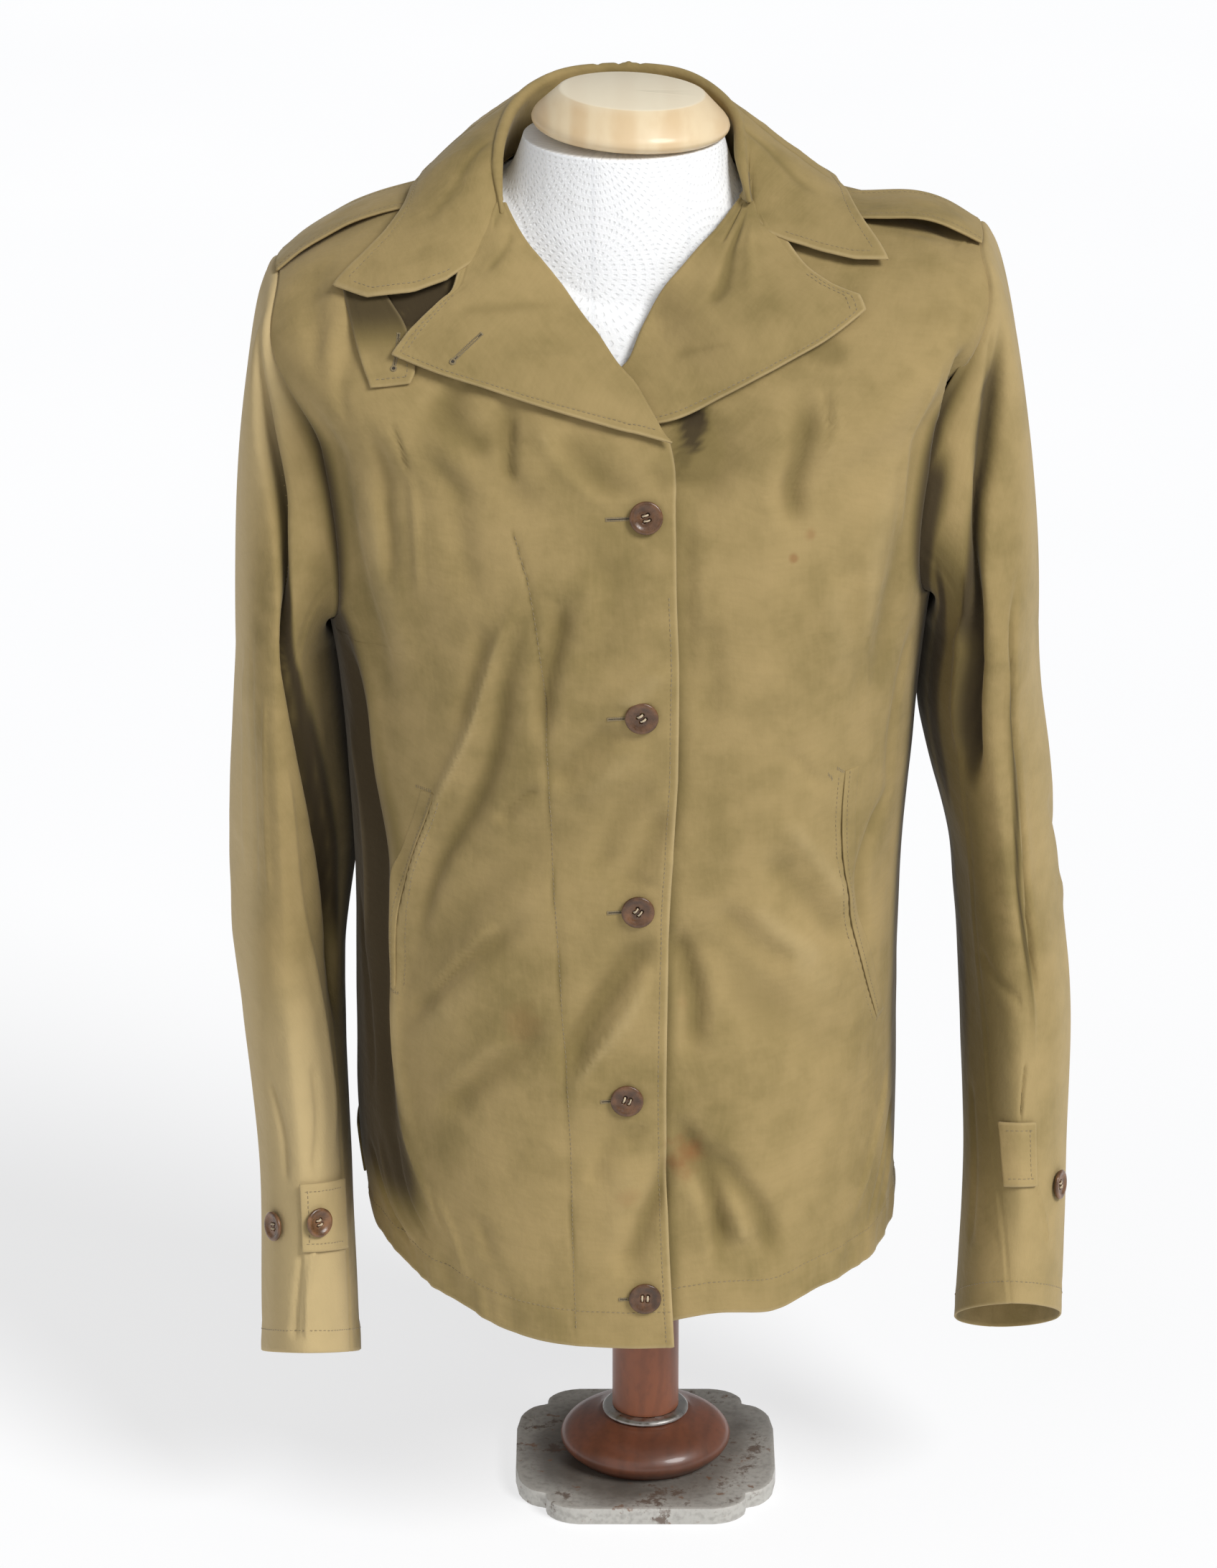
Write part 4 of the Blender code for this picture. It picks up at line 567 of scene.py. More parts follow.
# Rust stains on the body: angle, level, radius and strength.
STAINS = (
    (10.5, 0.196, 19, 0.75), (28, 0.826, 6, 0.35), (25, 0.808, 4, 0.5), (10, 0.35, 9, 0.25),
    (-19, 0.328, 18, 0.18), (0, 0.158, 10, 0.2),
)
BUTTON_PROFILE = table(
    "radius height",
    (0, 1.65), (0.2, 1.65), (0.34, 1.66), (0.46, 1.72), (0.56, 1.85), (0.64, 2.15), (0.72, 2.5),
    (0.8, 2.72), (0.88, 2.75), (0.95, 2.55), (1, 2.15), (1, 1.5), (0.96, 0.9), (0.9, 0.5), (0.6, 0.25),
    (0.3, 0.2),
)
HOLE_REACH = 0.165      # of a button's holes from its middle, as a share of its radius
THREAD_KNOTS = ((-1.0, 0.0), (-0.8, 0.75), (0.0, 1.15), (0.8, 0.75), (1.0, 0.0))
PLATE_PROFILE = table(
    "inset height wear",
    (0.8, 0, 0.2), (0.2, 0.3, 0.5), (0, 1, 0.4), (0, 5, 0), (0, 9, 0.6), (0.25, 9.7, 1), (0.9, 10, 1),
    (2.2, 10, 0.5), (4.5, 10, 0),
)
COLLAR_MM = (520.0, 65.0)   # length round the collar and down its fall
LAPEL_MM = (200.0, 95.0)
LAPEL_CORNERS = (5, 6)      # points of a lapel's outline at its tip and its notch
STAND_ROWS = 12
ROLL_ROWS = 8
SHELTER_LEFT = 76.0

# Tables and values by side.
EDGES = {-1: EDGE_RIGHT, 1: EDGE_LEFT}
HEMS = {-1: HEM_RIGHT, 1: HEM_LEFT}
POCKETS = {-1: POCKET_RIGHT, 1: POCKET_LEFT}
TACKS = {-1: TACKS_RIGHT, 1: TACKS_LEFT}
LAPELS = {-1: LAPEL_RIGHT, 1: LAPEL_LEFT}
LAPEL_CREASES = {-1: LAPEL_CREASES_RIGHT, 1: LAPEL_CREASES_LEFT}
SLEEVES = {-1: SLEEVE_RIGHT, 1: SLEEVE_LEFT}
SLEEVE_CREASES = {-1: CREASES_RIGHT, 1: CREASES_LEFT}
SLEEVE_SHADES = {-1: SHADES_RIGHT, 1: SHADES_LEFT}
# Painted shade on the half of each sleeve towards the body.
SLEEVE_HALF_SHADE = {-1: 0.26, 1: 0.56}
# Bleaching and painted light on the outer side of each sleeve.
BLEACH_AND_LIGHT = {-1: 0.95, 1: 0.42}
LEAN_UNTIL = {-1: 0.37, 1: 0.22}    # share of the sleeve down to which it leans on the body
STRAPS = {-1: STRAP_RIGHT, 1: STRAP_LEFT}
STRAP_BULGES = {-1: 2.0, 1: 7.0}
SIDE_TAB_STARTS = {-1: 86.0, 1: 102.0}
CUFF_TABS = {-1: ((74.0, 121.0), (0.819, 0.893)), 1: ((75.0, 121.0), (0.757, 0.84))}
CUFF_TAB_WEAR = {-1: 0.62, 1: 0.3}

# ---------------------------------------------------------------- curves and surfaces


def curve(xs, ys, x):
    """Smooth curve through the points (xs, ys), read at x."""
    x = np.clip(x, xs[0], xs[-1])
    i = np.clip(np.searchsorted(xs, x, side="right") - 1, 0, len(xs) - 2)
    slope = np.gradient(ys, xs)
    step = xs[i + 1] - xs[i]
    t = (x - xs[i]) / step
    start = ys[i] * (1 + 2 * t) * (1 - t) ** 2 + slope[i] * step * t * (1 - t) ** 2
    end = ys[i + 1] * t * t * (3 - 2 * t) - slope[i + 1] * step * t * t * (1 - t)
    return start + end


def read(rows, xs, x):
    """Every column of a table as a smooth curve over xs, read at x."""
    return {name: curve(xs, values, x) for name, values in rows.items()}


def ease(low, high, x):
    """0 up to low and 1 from high on, smooth between them."""
    t = np.clip((x - low) / (high - low), 0.0, 1.0)
    return t * t * (3 - 2 * t)


def span(x, start, full, fade, end):
    """1 from full to fade, and 0 before start and after end."""
    return ease(start, full, x) * (1 - ease(fade, end, x))


def bell(distance, width):
    return np.exp(-((distance / width) ** 2))


def signed_power(value, exponent):
    return np.sign(value) * np.abs(value) ** exponent


def unit(vectors):
    return vectors / np.maximum(np.linalg.norm(vectors, axis=-1, keepdims=True), 1e-9)


def wrapped(angle):
    """The same angle between -180 and 180."""
    return (angle + 180.0) % 360.0 - 180.0


def rise(turn):
    """1 at the top of a sleeve's head, where turn is 0, and 0 at its lower end."""
    return (1 + np.cos(np.radians(turn))) / 2


def noise(x, y, seed, period=64):
    """Smooth random height from -1 to 1; x repeats after a whole period."""
    grid = np.random.default_rng(seed).uniform(-1, 1, (period, 64))
    x, y = np.broadcast_arrays(x, y)
    i, j = np.floor(x).astype(int), np.floor(y).astype(int)
    u, v = x - i, y - j
    u, v = u * u * (3 - 2 * u), v * v * (3 - 2 * v)
    i0, i1, j0, j1 = i % period, (i + 1) % period, j % 64, (j + 1) % 64
    low = grid[i0, j0] * (1 - u) + grid[i1, j0] * u
    high = grid[i0, j1] * (1 - u) + grid[i1, j1] * u
    return low * (1 - v) + high * v


def section(column, level):
    return curve(SECTIONS["level"], SECTIONS[column], level)


def smooth_body(angle, level):
    """Point of the jacket's body without its folds."""
    across = np.sin(np.radians(angle))
    ahead = np.cos(np.radians(angle))
    square = section("square", level)
    x = section("centre", level) + section("half_width", level) * signed_power(across, square)
    depth = np.where(ahead > 0, section("front", level), section("back", level))
    y = -depth * signed_power(ahead, square)
    z_side = np.where(across > 0, section("z_left", level), section("z_right", level))
    z_middle = np.where(ahead > 0, section("z_front", level), section("z_back", level))
    return np.stack([x, y, z_side + (z_middle - z_side) * ahead * ahead], -1)


def body_normal(angle, level):
    high = np.clip(level + 0.004, 0, SECTIONS["level"][-1])
    low = np.clip(level - 0.004, 0, SECTIONS["level"][-1])
    around = smooth_body(angle + 0.5, level) - smooth_body(angle - 0.5, level)
    return unit(np.cross(around, smooth_body(angle, high) - smooth_body(angle, low)))


def smooth_line(points, pieces=5):
    """Points close together on a smooth curve through the given ones."""
    points = np.array(points, float)
    if len(points) < 3:
        return points
    fine = np.linspace(0, len(points) - 1, (len(points) - 1) * pieces + 1)
    at = np.arange(len(points), dtype=float)
    return np.stack([curve(at, points[:, k], fine) for k in (0, 1)], -1)


def crease(x, y, line, width, depth, turn=None, fade=0.26):
    """Height of one crease along a line in mm, on cloth points (x, y); turn is the length once round."""
    lengths = np.hypot(*np.diff(line, axis=0).T)
    run = np.concatenate([[0.0], np.cumsum(lengths)])
    x = x - line[0, 0]
    if turn:
        x = (x + turn / 2) % turn - turn / 2
    best, share = np.full(np.broadcast(x, y).shape, 1e9), np.zeros(np.broadcast(x, y).shape)
    for i, length in enumerate(lengths):
        (x_0, y_0), (x_1, y_1) = line[i] - (line[0, 0], 0.0), line[i + 1] - (line[0, 0], 0.0)
        t = np.clip(((x - x_0) * (x_1 - x_0) + (y - y_0) * (y_1 - y_0)) / length ** 2, 0.0, 1.0)
        far = np.hypot(x - x_0 - t * (x_1 - x_0), y - y_0 - t * (y_1 - y_0))
        share = np.where(far < best, (run[i] + t * length) / run[-1], share)
        best = np.minimum(far, best)
    return depth * span(share, 0.0, fade, 1 - fade, 1.0) * bell(best, width)


def creased(x, y, rows, to_mm, wider=1.0, deeper=1.0, **how):
    """Height of many creases, given as width, depth and points, which to_mm turns into mm of cloth."""
    return sum(crease(x, y, to_mm(smooth_line(points)), wider * width, deeper * depth, **how)
               for width, depth, *points in rows)


def body_relief(angle, level, fine=1.0):
    """Height of the body's folds: the large ones of the solids, and the creases too when fine is 1."""
    angle = wrapped(angle)
    x, y = angle * ANGLE_MM, level * LEVEL_MM
    scale = np.array([ANGLE_MM, LEVEL_MM])
    relief = np.zeros(np.broadcast(angle, level).shape)
    for a_0, l_0, a_1, l_1, width, depth in zip(*BODY_FOLDS.values()):
        (x_0, y_0), (x_1, y_1) = scale * (a_0, l_0), scale * (a_1, l_1)
        length = np.hypot(x_1 - x_0, y_1 - y_0)
        share = ((x - x_0) * (x_1 - x_0) + (y - y_0) * (y_1 - y_0)) / length ** 2
        across = ((x - x_0) * (y_1 - y_0) - (y - y_0) * (x_1 - x_0)) / length
        relief = relief + depth * span(share, -0.15, 0.25, 0.70, 1.15) * bell(across, width)
    if fine:
        around = 360 * ANGLE_MM
        relief = relief + creased(x, y, BODY_CREASES, lambda line: line * scale, 1.3, 1.3, turn=around)
        relief = relief + 0.6 * noise(x / 50 + 18, y / 60, 1, 18) + 0.24 * noise(x / 18, y / 26, 2, 50)
    return relief


def form_inset(angle, level):
    """How far the dress form lies inside the smooth body; below its bottom there is none."""
    across = np.abs(np.sin(np.radians(angle))) ** 3
    ahead = np.clip(np.cos(np.radians(angle)), 0, 1) ** 1.5
    here = read(FORM_INSET, FORM_INSET["level"], np.clip(level, 0.22, 1.0))
    inset = here["inset"] + across * here["side_extra"] + ahead * here["front_extra"]
    return np.where(level < 0.2, 60.0, inset)


def body(angle, level, out=0.0, fine=0.0):
    """Point of the body's cloth, moved out of its smooth face but never into the dress form."""
    angle, level, out = np.broadcast_arrays(np.asarray(angle, float), np.asarray(level, float), out)
    height = np.maximum(body_relief(angle, level, fine) + out, FORM_CLEAR - form_inset(angle, level))
    return smooth_body(angle, level) + body_normal(angle, level) * height[..., None]


def angle_at_depth(level, depth, side):
    """Angle on one side where the smooth body is a given depth in front of the middle."""
    reach = np.where(depth > 0, section("front", level), section("back", level))
    lean = np.degrees(np.arcsin((np.abs(depth) / reach) ** (1 / section("square", level))))
    return side * (90.0 - np.sign(depth) * lean)


def armhole(turn, side, scale=1.0):
    """Angle and level on the armhole's edge; turn 0 is its top, 90 its front, 180 its lower end."""
    ahead = np.sin(np.radians(turn))
    reach = np.where(ahead > 0, ARMHOLE_FRONT, ARMHOLE_BACK) * scale
    angle = side * (90.0 - reach * signed_power(ahead, ARMHOLE_SQUARE))
    return angle, ARMHOLE_LEVEL + ARMHOLE_REACH * scale * np.cos(np.radians(turn))


def under_front(angle, level):
    """How far the left front lies inside the jacket's outer face, where the right front covers it."""
    covered = 1 - ease(*OVERLAP_BLEND, angle)
    return -covered * (WALL + 1.5 * REST_GAP + UNDER_DEPTH * ease(0.85, 0.92, level))


def sleeve(side, turn, share, out=0.0):
    """Point of a sleeve below the armhole. Turn 0 is its outer side, 90 its front."""
    turn, share, out = np.broadcast_arrays(np.asarray(turn, float), np.asarray(share, float), out)
    part = read(SLEEVES[side], SLEEVES[side]["share"], share)
    turn = turn + part["swing"] * bell(turn - FRONT_SEAM, SEAM_SPREAD)
    relief = out.astype(float)
    for at, share_0, share_1, width, depth in zip(*SLEEVE_FOLDS.values()):
        fade = FOLD_FADE * (share_1 - share_0)
        taper = span(share, share_0, share_0 + fade, share_1 - fade, share_1)
        relief = relief + depth * taper * bell(wrapped(turn - at), width)
    across = np.cos(np.radians(turn))
    ahead = np.sin(np.radians(turn))
    depth = np.where(ahead > 0, part["front"], part["back"]) + relief
    x = part["x"] + side * (part["half_x"] + relief) * signed_power(across, SLEEVE_SQUARE_X)
    forward = depth * signed_power(ahead, SLEEVE_SQUARE_Y)
    lean = np.radians(part["lean"])
    return np.stack([x, part["y"] - forward * np.cos(lean), part["z"] + forward * np.sin(lean)], -1)


def sleeve_length(share):
    return share * np.where(share < 0, CAP_MM, SHARE_MM)


def sleeve_line(line):
    """Points of (turn, share) as mm of the sleeve's cloth."""
    return np.stack([line[:, 0] * TURN_MM, sleeve_length(line[:, 1])], -1)


def sleeve_creases(side, turn, share):
    """Height of a sleeve's creases; share runs from -1 at the armhole over 0 to 1 at the cuff."""
    y, rows = sleeve_length(share), SLEEVE_CREASES[side] + CREASES_BACK
    relief = creased(turn * TURN_MM, y, rows, sleeve_line, 1.25, 1.3, turn=360 * TURN_MM, fade=0.14)
    x = (turn % 360.0) / 360.0
    relief = relief + 0.5 * noise(x * 9, y / 55 + 20, 11 + side, 9)
    return relief + 0.22 * noise(x * 22, y / 24 + 20, 21 + side, 22)


def sleeve_cap(side, turn, share):
    """Point of a sleeve between the armhole's edge (share 0) and its first full section (share 1)."""
    turn, share = np.broadcast_arrays(np.asarray(turn, float), np.asarray(share, float))
    angle, level = armhole(turn, side, 0.993)
    start = body(angle, level, -0.5 * WALL)
    leave = unit(0.6 * body_normal(angle, level) + 0.4 * np.array([side, 0.0, 0.0]))
    end = sleeve(side, turn, 0.0)
    top = rise(turn)[..., None]
    first = start + leave * (7.0 + 9.0 * top)
    last = end + np.array([0.0, 0.0, 1.0]) * (6.0 + 95.0 * top)
    t = share[..., None]
    return start * (1 - t) ** 3 + 3 * first * t * (1 - t) ** 2 + 3 * last * t * t * (1 - t) + end * t ** 3


# ---------------------------------------------------------------- grids, shells and stitches


class Grid:
    """A sheet's outer face as rows and columns of points, with its normals and distances to its edges."""

    def __init__(self, points, sense=1, wrap=False):
        self.points, self.sense, self.wrap = points, sense, wrap
        if wrap:
            padded = np.concatenate([points[:, -1:], points, points[:, :1]], axis=1)
            across = np.gradient(padded, axis=1)[:, 1:-1]
        else:
            across = np.gradient(points, axis=1)
        self.normals = unit(np.cross(across, np.gradient(points, axis=0))) * sense
        along_row = np.linalg.norm(np.diff(points, axis=1), axis=-1)
        along_column = np.linalg.norm(np.diff(points, axis=0), axis=-1)
        zero_row, zero_column = np.zeros((points.shape[0], 1)), np.zeros((1, points.shape[1]))
        self.first = np.concatenate([zero_row, np.cumsum(along_row, axis=1)], axis=1)
        self.last = self.first[:, -1:] - self.first
        self.low = np.concatenate([zero_column, np.cumsum(along_column, axis=0)], axis=0)
        self.high = self.low[-1:] - self.low

    def pressed(self, height):
        return Grid(self.points + self.normals * height[..., None], self.sense, self.wrap)

    def near(self, *edges):
        """Distance to the nearest of the named edges."""
        return np.minimum.reduce([getattr(self, edge) for edge in edges])

    def at(self, row, column):
        """Points and normals at fractional rows and columns."""
        rows, columns = self.points.shape[:2]
        row = np.clip(row, 0, rows - 1.001)
        column = column % columns if self.wrap else np.clip(column, 0, columns - 1.001)
        i, j = row.astype(int), column.astype(int)
        u, v = (row - i)[:, None], (column - j)[:, None]
        right = (j + 1) % columns
        found = [f[i, j] * (1 - u) * (1 - v) + f[i + 1, j] * u * (1 - v) + f[i, right] * (1 - u) * v
                 + f[i + 1, right] * u * v for f in (self.points, self.normals)]
        return found[0], unit(found[1])

    def beside(self, edge, distance, start=0.0, end=1.0, count=200):
        """Rows and columns of a line at a distance in mm from one edge, between two shares of it."""
        gaps = getattr(self, edge)
        upright = edge in ("first", "last")
        if upright:
            gaps = gaps.T
        flip = -1 if edge in ("last", "high") else 1
        steps = np.arange(gaps.shape[0])[::flip]
        along = np.linspace(start, end, count) * (gaps.shape[1] - 1)
        off = np.array([np.interp(distance, gaps[::flip, int(c)], steps) for c in along])
        return (along, off) if upright else (off, along)

    def area(self):
        """Area of the face in square metres."""
        across = np.diff(self.points, axis=1)[:-1]
        along = np.diff(self.points, axis=0)[:, :-1]
        return float(np.linalg.norm(np.cross(across, along), axis=-1).sum()) * MM ** 2


def make_mesh(name, points, faces, uv=None, girth=None, **shades):
    """A mesh from mm points and faces of one size, with cloth lengths in metres as its UV map."""
    faces = np.asarray(faces, dtype=np.int32)
    mesh = bpy.data.meshes.new(name)
    mesh.vertices.add(len(points))
    mesh.vertices.foreach_set("co", (points * MM).astype(np.float32).ravel())
    mesh.loops.add(faces.size)
    mesh.loops.foreach_set("vertex_index", faces.ravel())
    mesh.polygons.add(len(faces))
    mesh.polygons.foreach_set("loop_start", np.arange(len(faces), dtype=np.int32) * faces.shape[1])
    mesh.update(calc_edges=True)
    if uv is not None:
        layer = mesh.uv_layers.new(name="cloth")
        corners = uv[faces]
        if girth:   # the last column of a tube runs on past the girth
            u = corners[..., 0]
            u[u.max(1, keepdims=True) - u > 0.5 * girth] += girth
        layer.data.foreach_set("uv", (corners * MM).astype(np.float32).ravel())
    for key, values in shades.items():
        shade = mesh.attributes.new(key, "FLOAT", "POINT")
        shade.data.foreach_set("value", values.astype(np.float32).ravel())
    mesh.validate()
    mesh.shade_smooth()
    return link(bpy.data.objects.new(name, mesh))


def link(thing):
    bpy.context.scene.collection.objects.link(thing)
    return thing


def ring_faces(rows, columns, outwards=False):
    """Quads between closed rings that go up, or that start in the middle of a turned top and are capped."""
    index = np.arange(rows * columns).reshape(rows, columns)
    following = np.roll(index, -1, axis=1)
    if not outwards:
        return np.stack([index[:-1], following[:-1], following[1:], index[1:]], -1).reshape(-1, 4)
    quads = np.stack([index[:-1], index[1:], following[1:], following[:-1]], -1).reshape(-1, 4)
    caps = np.array([[0, k, k + 1, k + 2] for k in range(1, columns - 2, 2)])
    return np.concatenate([quads, caps, caps[:, ::-1] + (rows - 1) * columns])


def shell(name, grid, look, nodes, thickness=CLOTH, wear=None, hollow=None):
    """A closed thin shell under a grid, its borders rounded, that stands for the CAD nodes."""
    rows, columns = grid.points.shape[:2]
    outer = grid.points.reshape(-1, 3)
    inner = (grid.points - grid.normals * thickness).reshape(-1, 3)
    index = np.arange(rows * columns).reshape(rows, columns)
    if grid.wrap:
        index = np.concatenate([index, index[:, :1]], axis=1)
    a, b, c, d = (s.ravel() for s in (index[:-1, :-1], index[:-1, 1:], index[1:, 1:], index[1:, :-1]))
    quads = np.stack([a, b, c, d], -1) if grid.sense > 0 else np.stack([a, d, c, b], -1)
    faces = [quads, quads[:, ::-1] + rows * columns]
    if grid.wrap:
        borders = [(index[0, :-1], -1), (index[-1, :-1], 1)]
        girth = float(grid.first[:, -1].mean()) * columns / (columns - 1)
        along = np.broadcast_to(np.arange(columns) / columns * girth, (rows, columns))
    else:
        borders = [(np.concatenate([index[0, :-1], index[:-1, -1], index[-1, :0:-1], index[:0:-1, 0]]), -1)]
        girth, along = None, grid.first
    points, count = [outer, inner], 2 * rows * columns
    uv = np.stack([along.ravel(), grid.low.ravel()], -1)
    uvs = [uv, uv]
    shades = {}
    # For each point: its wear, and its unfaded dye with painted shade.
    for key, values in (("wear", wear), ("hollow", hollow)):
        flat = np.broadcast_to(0.0 if values is None else values, (rows, columns)).ravel()
        shades[key] = [flat, flat * 0.4]
    for line, turn in borders:
        middle = (outer[line] + inner[line]) / 2
        tangent = np.roll(middle, -1, axis=0) - np.roll(middle, 1, axis=0)
        away = unit(np.cross(tangent, outer[line] - inner[line])) * grid.sense * -turn
        points.append(middle + away * (0.42 * thickness))
        uvs.append(uv[line])
        for parts in shades.values():
            parts.append(parts[0][line])
        ring = count + np.arange(len(line))
        after, following = np.roll(ring, -1), np.roll(line, -1)
        first = np.stack([following, line, ring, after], -1)
        second = np.stack([after, ring, line + rows * columns, following + rows * columns], -1)
        if turn * grid.sense > 0:
            first, second = first[:, ::-1], second[:, ::-1]
        faces += [first, second]
        count += len(line)
    shades = {key: np.concatenate(parts) for key, parts in shades.items()}
    points, faces, uvs = (np.concatenate(parts) for parts in (points, faces, uvs))
    return place(make_mesh(name, points, faces, uvs, girth, **shades), look, nodes)


def place(thing, look, nodes):
    """Give a look, ride on the part, and stand for the nodes."""
    thing.data.materials.append(look)
    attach(thing, "root")
    if nodes:
        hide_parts(*nodes)
    return thing


def cloth_piece(name, grid, look, cut, nodes=None, rests_on="dress_form", held="draped", **how):
    """A shell of cloth, given its pattern's width and length in metres; its area is clamped to shares of
    their product, and the result is not kept.
    """
    thing = shell(f"{name}_cloth", grid, look, nodes or [name], **how)
    least, most = (share * cut[0] * cut[1] for share in AREA_SHARES)
    min(max(grid.area(), least), most)


SEAMS = {}      # points and faces by kind and node, until finish_seams makes the meshes


def keep_seam(kind, group, points, faces):
    SEAMS.setdefault((kind, group), []).append((points, faces))


def sew(group, grid, path, pitch=2.7, radius=0.26, waver=0.12):
    """Stitches along a path of rows and columns on a grid."""
    line, normals = grid.at(*path)
    run = np.concatenate([[0.0], np.cumsum(np.linalg.norm(np.diff(line, axis=0), axis=1))])
    starts = np.arange(0.4, run[-1] - pitch, pitch)
    if not len(starts):
        return
    rng = np.random.default_rng(len(starts))

    def on_line(at, values):
        return np.stack([np.interp(at, run, values[:, k]) for k in range(3)], -1)

    begin, end = on_line(starts, line), on_line(starts + 0.76 * pitch, line)
    normal = unit(on_line(starts + 0.4 * pitch, normals))
    side = unit(np.cross(normal, end - begin))
    begin = begin + side * rng.uniform(-waver, waver, (len(starts), 1))
    end = end + side * rng.uniform(-waver, waver, (len(starts), 1))
    add_strands(group, begin, end, side, normal, radius)


def topstitch(group, grid, edges, distance, *part):
    """Rows of stitches at one distance from some edges, along the part that grid.beside takes."""
    for edge in edges:
        sew(group, grid, grid.beside(edge, distance, *part))


def add_strands(group, begin, end, side, normal, radius):
    """Short bowed strands of thread between pairs of points."""
    side, normal = np.broadcast_to(side, begin.shape), np.broadcast_to(normal, begin.shape)
    rings = []
    for share, width, height in ((0.0, 0.4, -0.6), (0.22, 0.95, 0.25), (0.78, 0.95, 0.25), (1.0, 0.4, -0.6)):
        centre = begin + (end - begin) * share + normal * (height * radius)
        corners = ((1, 0), (0, 0.9), (-1, 0), (0, -0.9))
        rings.append(np.stack([centre + (side * u + normal * v) * radius * width for u, v in corners], 1))
    quads = np.concatenate([ring_faces(4, 4), [[3, 2, 1, 0], [12, 13, 14, 15]]])
    faces = quads[None] + (np.arange(len(begin)) * 16)[:, None, None]
    keep_seam("stitches", group, np.stack(rings, 1).reshape(-1, 3), faces.reshape(-1, 4))


def buttonhole(group, grid, start, end, eyelet=False, width=0.75):
    """A worked buttonhole from one (row, column) to another: thread round a slit, which is a dark sheet of
    painted shadow.
    """
    (row, column), (reach_row, reach_column) = start, np.subtract(end, start)
    ends, normals = grid.at(row + np.array([0.0, reach_row]), column + np.array([0.0, reach_column]))
    along, normal = unit(ends[1] - ends[0]), unit(normals[0])
    side = unit(np.cross(normal, along))
    length = np.linalg.norm(ends[1] - ends[0])
    share = np.arange(0.0, length, 0.62) / length
    surface, normal_at = grid.at(row + reach_row * share, column + reach_column * share)
    for way in (-1, 1):
        inner = surface + side * (0.12 * way) + normal_at * 0.12
        outer = surface + side * (way * (width + 0.35)) + normal_at * 0.1
        add_strands(group, inner, outer, along, normal_at, 0.30)
    for last, sign in ((-1, 1),) if eyelet else ((0, -1), (-1, 1)):
        at = surface[last] + np.linspace(-1, 1, 4)[:, None] * side * width + normal_at[last] * 0.12
        add_strands(group, at, at + along * (0.9 * sign), side, normal_at[last], 0.3)
    # A dark sheet of painted shadow over the slit.
    corners = [surface[at] + side * (0.25 * way) for at, way in ((0, -1), (-1, -1), (-1, 1), (0, 1))]
    dark = [np.array(corners) + normal * 0.22]
    if eyelet:
        angles = np.linspace(0, 2 * np.pi, 17)[:-1]
        ring = np.cos(angles)[:, None] * along + np.sin(angles)[:, None] * side
        eye = surface[0] - along
        inner, outer = eye + ring * 0.75 + normal * 0.14, eye + ring * 1.75 + normal * 0.12
        add_strands(group, inner, outer, np.cross(normal, ring), normal, 0.34)
        # Dark fans of painted shadow in the eyelet.
        for k in range(0, 16, 4):
            fan = np.array([eye] + [eye + ring[(k + j) % 16] * 0.8 for j in (0, 2, 4)])
            dark.append(fan + normal * 0.2)
    keep_seam("slits", group, np.concatenate(dark), np.arange(len(dark) * 4).reshape(-1, 4))


def finish_seams():
    """All stitches of a node as one mesh, and the painted shadow in its buttonholes as another."""
    looks = {"stitches": thread_look("sewing_thread", (0.30, 0.225, 0.105)),
             "slits": thread_look("slit_shadow", (0.035, 0.024, 0.014))}
    for (kind, node), parts in SEAMS.items():
        bases = np.cumsum([0] + [len(points) for points, _ in parts])
        faces = np.concatenate([faces + base for (_, faces), base in zip(parts, bases)])
        thing = make_mesh(f"{kind}_{node}", np.concatenate([points for points, _ in parts]), faces)
        place(thing, looks[kind], ())


def trough(distance, at, depth=0.3, width=0.9):
    """The dent that a stitch line presses into the cloth."""
    return -depth * bell(distance - at, width)


def rolled_edge(distance, height=0.35, width=2.6):
    """A turned edge stands a little proud of the single cloth beside it."""
    return height * (1 - ease(width, width + 3.0, distance))


def worn_edge(distance):
    """How much an edge is rubbed, from the distance to it."""
    return bell(distance, 1.3)


def hollows(relief, full=13.0):
    """Unfaded dye and painted shade from how deep in a fold the cloth lies: at most 0.45, and 0 where it is
    open.
    """
    return np.clip(-relief / full, 0.0, 0.45)


def ridges(relief):
    """How much of the rubbing the cloth gets on top of its folds."""
    return np.clip(relief / 5.0, 0.0, 0.6)


def sheltered(angles, levels, side):
    """How much the sleeves shade the sides of the body."""
    away = np.abs(wrapped(angles))
    start = np.where(side < 0, curve(SHELTER["level"], SHELTER["angle"], levels), SHELTER_LEFT)
    return span(away, start - 7.5, start + 4.0, 106.0, 134.0) * span(levels, 0.02, 0.14, 0.70, 0.84)


# ---------------------------------------------------------------- materials


